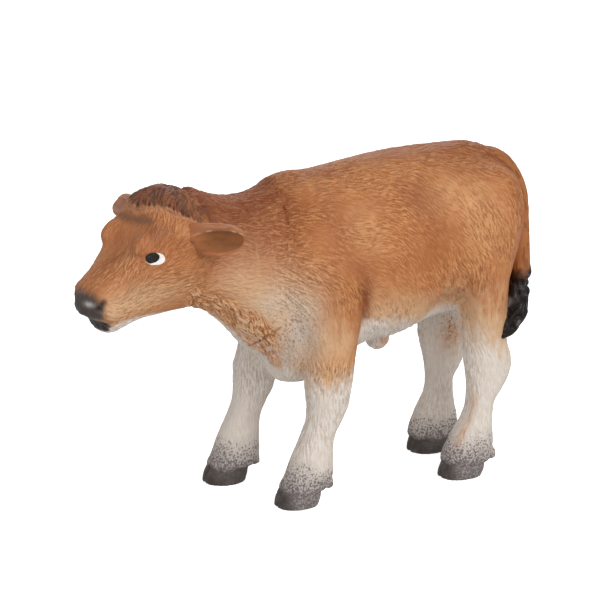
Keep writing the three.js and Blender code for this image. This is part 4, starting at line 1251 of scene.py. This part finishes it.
def trim_leg(level):
    def trim(body):
        cut(body, 2, level, 1, clear=True)
        close(body, 2, level)
    return trim


def tube(rings):
    """Points and quads of a skin over closed rings, with a point closing each end."""
    count, sides = rings.shape[:2]
    points = np.vstack([rings.reshape(-1, 3), rings[0].mean(0), rings[-1].mean(0)])
    row, col = np.meshgrid(np.arange(count - 1), np.arange(sides), indexing="ij")
    after = (col + 1) % sides
    quads = np.stack([row * sides + col, row * sides + after, (row + 1) * sides + after,
                      (row + 1) * sides + col], -1).reshape(-1, 4).tolist()
    last = (count - 1) * sides
    for k in range(sides):
        n = (k + 1) % sides
        quads.append([count * sides, n, k])
        quads.append([count * sides + 1, last + k, last + n])
    return points, quads


HEAD_BOX = (-48.6, -14.6, 20.6), (-8.6, 13.4, 54.4)
TRUNK_BOX = (-14.0, -14.4, 15.6), (36.6, 14.4, 55.2)


def make_head():
    points, quads, facts = skin(figure_field, *HEAD_BOX, FINE_STEP)
    facts = paint(points, facts)
    facts["head_place"] = mirrored(in_head(points), axis=2)
    to_piece("head_vinyl", points, quads, facts, "head",
             head_material("painted_head"), trim_head)


def make_torso():
    points, quads, facts = skin(figure_field, *TRUNK_BOX, TRUNK_STEP)
    to_piece("torso_vinyl", points, quads, paint(points, facts), "torso",
             coat_material("painted_torso"), trim_torso)


def make_legs():
    material = coat_material("painted_leg")
    for name, leg in LEGS.items():
        seam = FORE_SEAM_HEIGHT if "front" in name else HIND_SEAM_HEIGHT
        x, y, half_length, half_width = leg.middle(np.linspace(0, (seam + 1) / CROUP_HEIGHT, 30))
        low = (np.min(x - half_length) - 1.5, np.min(y - half_width) - 1.5, -0.9)
        high = (np.max(x + half_length) + 2.0, np.max(y + half_width) + 1.5, seam + 1.2)

        def field(places, leg=leg):
            return hoof_forms(places, leg, figure_field(places))

        points, quads, facts = skin(field, low, high, FINE_STEP)
        facts = paint(points, facts)
        # The far hooves are dark all over, the near ones mostly at the front.
        toe_x, _, toe_half, _ = leg.middle(np.zeros(1))
        front = ramp(0.2, 0.85, (toe_x - points[:, 0]) / toe_half)
        hoof = ramp(3.5, 2.2, points[:, 2] + 0.4 * noise(points, 0.6, 12))
        facts["hoof"] = hoof * (0.25 + 0.7 * front if leg.side < 0 else 0.8 + 0.15 * front)
        to_piece(name + "_vinyl", points, quads, facts, name, material,
                 trim_leg(seam))


EAR_LENGTH = 8.6
EAR_STATIONS, EAR_SIDES = 120, 120
EAR = [  # along, half breadth, curl in radians, thickness, how far the cup is filled
    [-0.14, 0.8, 1.2, 1.2, 1.0],
    [0.0, 1.35, 1.2, 1.6, 1.0],
    [0.12, 1.95, 1.2, 1.6, 0.85],
    [0.26, 2.5, 1.2, 1.35, 0.45],
    [0.42, 2.75, 1.2, 1.15, 0.12],
    [0.55, 2.85, 1.15, 1.05, 0],
    [0.7, 2.7, 1.0, 0.95, 0],
    [0.86, 2.25, 0.85, 0.85, 0],
    [0.95, 1.6, 0.7, 0.75, 0],
    [0.99, 0.9, 0.5, 0.6, 0],
    [1.0, 0.25, 0.3, 0.4, 0],
]


def make_ear(name, side, along, opening, fold, wash, node):
    """A cupped ear: its section is a bent strip, thicker above, and filled at the root."""
    to_side = np.diag([1, 1, side]) @ HEAD_AXES
    along = unit(np.array(along) @ to_side)
    opening = np.array(opening) @ to_side
    opening = unit(opening - (opening @ along) * along)
    across = np.cross(along, opening)
    across = across * np.sign(across @ UPWARD)
    root = out_of_head(np.array([-0.67, -0.71, side * 6.34]))
    angle = np.linspace(0, 2 * np.pi, EAR_SIDES, endpoint=False)
    if np.cross(along, opening) @ across < 0:
        angle = angle[::-1]
    strip, face = np.cos(angle), np.sin(angle)
    rings = []
    marks = {"hollow": [], "rim": [], "glint": []}
    for reach, half, curl, thick, fill in through(EAR, EAR_STATIONS):
        bend = strip * curl
        lean = half * fold / np.sin(min(curl, np.pi / 2))
        mid_up = lean * (1 - np.cos(bend)) * 0.8
        brim = lean * (1 - np.cos(curl)) * 0.8
        thick = thick * (1 + 0.25 * ramp(0.2, 0.9, strip))
        body = np.sign(face) * np.abs(face) ** 0.6 * thick / 2
        a = lean * np.sin(bend) - np.sin(bend) * body
        b = mid_up + np.cos(bend) * body + fill * (brim - mid_up) * ramp(0, 0.5, face)
        rings.append(root + along * (reach * EAR_LENGTH) + across * a[:, None]
                     + opening * b[:, None])
        marks["hollow"].append(ramp(0.1, 0.6, face) * ramp(0.72, 0.5, strip)
                               * ramp(-0.96, -0.8, strip) * (1 - 0.8 * fill) * wash)
        marks["rim"].append(ramp(0.55, 0.75, strip) * ramp(-0.9, -0.2, face) * (1 - fill))
        # Painted glints along the inner edge of the upper rim.
        marks["glint"].append(np.exp(-(((strip - 0.66) / 0.09) ** 2)) * (face > 0) * (1 - fill))
    points, quads = tube(np.array(rings))
    facts = {key: np.append(np.ravel(rows), [0, 0]) for key, rows in marks.items()}
    facts["glint"] *= ramp(0.0, 0.35, noise(points, 0.5, 62))
    facts["depth"] = facts["hollow"] * ramp(0.2, 0.75, (points - root) @ along / EAR_LENGTH)
    facts["groove"] = ramp(0.1, 0.9, combed(points, along, 3.0, 0.5, 61))
    to_piece(name, points, quads, facts, node, ear_material("painted_" + node))


TAIL_STATIONS, TAIL_SIDES = 260, 110
TAIL = [  # x, y, z, half across, half deep
    [24.2, 0.0, 50.9, 2.6, 1.2],
    [26.2, 0.0, 50.9, 2.5, 1.5],
    [28.4, 0.0, 50.7, 2.3, 1.7],
    [30.4, 0.0, 50.0, 2.1, 1.8],
    [32.4, 0.0, 48.4, 1.85, 1.75],
    [34.0, 0.0, 46.0, 1.65, 1.65],
    [34.9, 0.0, 43.8, 1.55, 1.55],
    [35.2, -0.1, 41.7, 1.5, 1.5],
    [34.5, -1.5, 39.5, 1.5, 1.5],
    [33.6, -3.2, 37.5, 1.5, 1.5],
    [32.55, -5.2, 35.2, 1.5, 1.5],
    [31.4, -7.2, 33.2, 1.55, 1.55],
    [30.0, -9.0, 31.6, 1.6, 1.6],
    [29.25, -10.2, 29.9, 1.65, 1.65],
    [28.9, -10.6, 28.4, 1.7, 1.7],
    [28.0, -10.5, 26.2, 1.45, 1.45],
    [27.2, -10.4, 24.7, 1.05, 1.05],
    [26.3, -10.2, 23.4, 0.2, 0.2],
]


def make_tail():
    """The tail and its tuft, a tube whose section changes along a bent line."""
    stations = through(TAIL, TAIL_STATIONS)
    middles = stations[:, :3]
    runs = unit(np.gradient(middles, axis=0))
    angle = np.linspace(0, 2 * np.pi, TAIL_SIDES, endpoint=False)
    outward = unit(np.cross(runs, [0, 1.0, 0]))
    sideways = unit(np.cross(outward, runs))
    spread = (np.cos(angle)[None, :, None] * sideways[:, None] * stations[:, 3, None, None]
              + np.sin(angle)[None, :, None] * outward[:, None] * stations[:, 4, None, None])
    points, quads = tube(middles[:, None] + spread)
    outwards = np.vstack([unit(spread).reshape(-1, 3), -runs[:1], runs[-1:]])
    ways = np.vstack([np.repeat(runs, TAIL_SIDES, 0), runs[:1], runs[-1:]])
    tuft = ramp(34.4, 32.6, points[:, 2] + 0.5 * noise(points, 1.0, 71))
    fine = ramp(0.1, 0.8, combed(points, ways, 1.8, 0.36, 72))
    wave = noise(points, 1.6, 73)[:, None] * np.cross(outwards, ways)
    locks = combed(points + 0.6 * wave, unit(ways + 0.5 * wave), 3.2, 0.75, 74)
    form = np.tanh(1.6 * locks)
    rise = -0.06 * fine * (1 - tuft) + 0.3 * form * tuft
    points = points + outwards * rise[:, None]
    deep = fine * (1 - tuft) + ramp(0.2, -0.8, form) * tuft
    # Painted highlights on the tuft's locks, strongest where the locks stand out.
    painted_tuft_highlight = tuft * ramp(0.45, 0.9, locks) * ramp(-0.3, 0.4, noise(points, 1.3, 75))
    painted_tuft_highlight = painted_tuft_highlight * ramp(24.0, 25.5, points[:, 2])
    facts = {"tuft": tuft, "groove": deep, "painted_tuft_highlight": painted_tuft_highlight}
    to_piece("tail_vinyl", points, quads, facts, "tail",
             tail_material("painted_tail"))


# ---------------------------------------------------------------------- camera, light, floor

# The camera that took the photograph, as fitted to the four hooves.
CAMERA_TURN, CAMERA_TIP = math.radians(-26), math.radians(16)
CAMERA_AWAY = 0.42
CAMERA_TARGET = (0, 9, 27.95)
FOCAL_PIXELS, PHOTO_PIXELS, SENSOR = 2609, 600, 36

WORLD_GLOW = 0.42  # on the figure; the camera and gloss see white
FLOOR_GLOW = 0.72
FLOOR_GREY = 0.8
FLOOR_HALF = 3
PURE_WHITE = (1, 1, 1, 1)
LAMPS = {  # place, power, size
    "key": ((90, -330, 270), 1.0, 0.3),
    "fill": ((-330, -260, 160), 0.4, 0.35),
    "back": ((160, 300, 260), 0.3, 0.3),
}


def in_frame(places):
    """Millimetres in the calf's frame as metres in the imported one."""
    return Vector((np.asarray(places, float) + SHIFT) / 1000)


def make_camera():
    level = math.cos(CAMERA_TIP)
    back = Vector((math.sin(CAMERA_TURN) * level, -math.cos(CAMERA_TURN) * level,
                   math.sin(CAMERA_TIP)))
    right = Vector((math.cos(CAMERA_TURN), math.sin(CAMERA_TURN), 0))
    rotation = Matrix((right, back.cross(right), back)).transposed().to_4x4()
    lens = bpy.data.cameras.new("camera")
    lens.sensor_width = SENSOR
    lens.lens = SENSOR * FOCAL_PIXELS / PHOTO_PIXELS
    lens.clip_start, lens.clip_end = 0.01, 20
    camera = bpy.data.objects.new("camera", lens)
    bpy.context.scene.collection.objects.link(camera)
    stand = Matrix.Translation(in_frame(CAMERA_TARGET) + back * CAMERA_AWAY)
    camera.matrix_world = stand @ rotation
    bpy.context.scene.camera = camera


def make_lamp(name, place, power, size):
    """A round lamp that looks at the middle of the figure."""
    lamp = bpy.data.lights.new(name, "AREA")
    lamp.shape, lamp.size, lamp.energy = "DISK", size, power
    holder = bpy.data.objects.new(name, lamp)
    bpy.context.scene.collection.objects.link(holder)
    holder.location = in_frame(place)
    look = in_frame((0, 0, 28)) - holder.location
    holder.rotation_euler = look.to_track_quat("-Z", "Y").to_euler()


def make_world():
    """Soft light from all round on the figure, and plain white for the camera and for gloss."""
    world = bpy.data.worlds.new("studio")
    world.use_nodes = True
    world.node_tree.nodes.clear()
    start = Paint(world.node_tree)
    seen, shiny, passing = (start.node("ShaderNodeLightPath", out=f"Is {kind} Ray")
                            for kind in ("Camera", "Glossy", "Transmission"))
    white = seen.result("MAXIMUM", shiny).result("MAXIMUM", passing)
    strength = WORLD_GLOW + white * (1 - WORLD_GLOW)
    glow = start.node("ShaderNodeBackground", values=[PURE_WHITE, strength])
    start.node("ShaderNodeOutputWorld", values=[glow])
    bpy.context.scene.world = world


def make_floor():
    """A sheet of paper that shows nearly white, and throws less light back on the figure."""
    floor = bpy.data.meshes.new("floor")
    floor.from_pydata([(FLOOR_HALF * a, FLOOR_HALF * b, 0)
                       for a, b in ((-1, -1), (1, -1), (1, 1), (-1, 1))], [], [(0, 1, 2, 3)])
    sheet = bpy.data.objects.new("floor", floor)
    bpy.context.scene.collection.objects.link(sheet)
    material, place = start_material("floor_paper")
    lit = place.node("ShaderNodeBsdfDiffuse", values=[PURE_WHITE, 0.0])
    glow = place.node("ShaderNodeEmission", values=[PURE_WHITE, FLOOR_GLOW])
    plain = place.node("ShaderNodeBsdfDiffuse", values=[(FLOOR_GREY,) * 3 + (1,), 0.0])
    bright = place.node("ShaderNodeAddShader", values=[lit, glow])
    seen = place.node("ShaderNodeLightPath", out="Is Camera Ray")
    paper = place.node("ShaderNodeMixShader", values=[seen, plain, bright])
    place.node("ShaderNodeOutputMaterial", values=[paper])
    floor.materials.append(material)


make_camera()
make_world()
make_floor()
for lamp_name, settings in LAMPS.items():
    make_lamp(lamp_name, *settings)
make_torso()
make_head()
make_legs()
make_ear("left_ear_vinyl", -1, [-5.0, -1.2, 6.5], [0.45, -0.12, 0.9], 0.95, 1.0, "left_ear")
make_ear("right_ear_vinyl", 1, [-3.4, -1.1, 9.3], [0.45, 0.85, 0.25], 0.62, 0.35, "right_ear")
make_tail()

bpy.context.scene.view_settings.view_transform = "Standard"
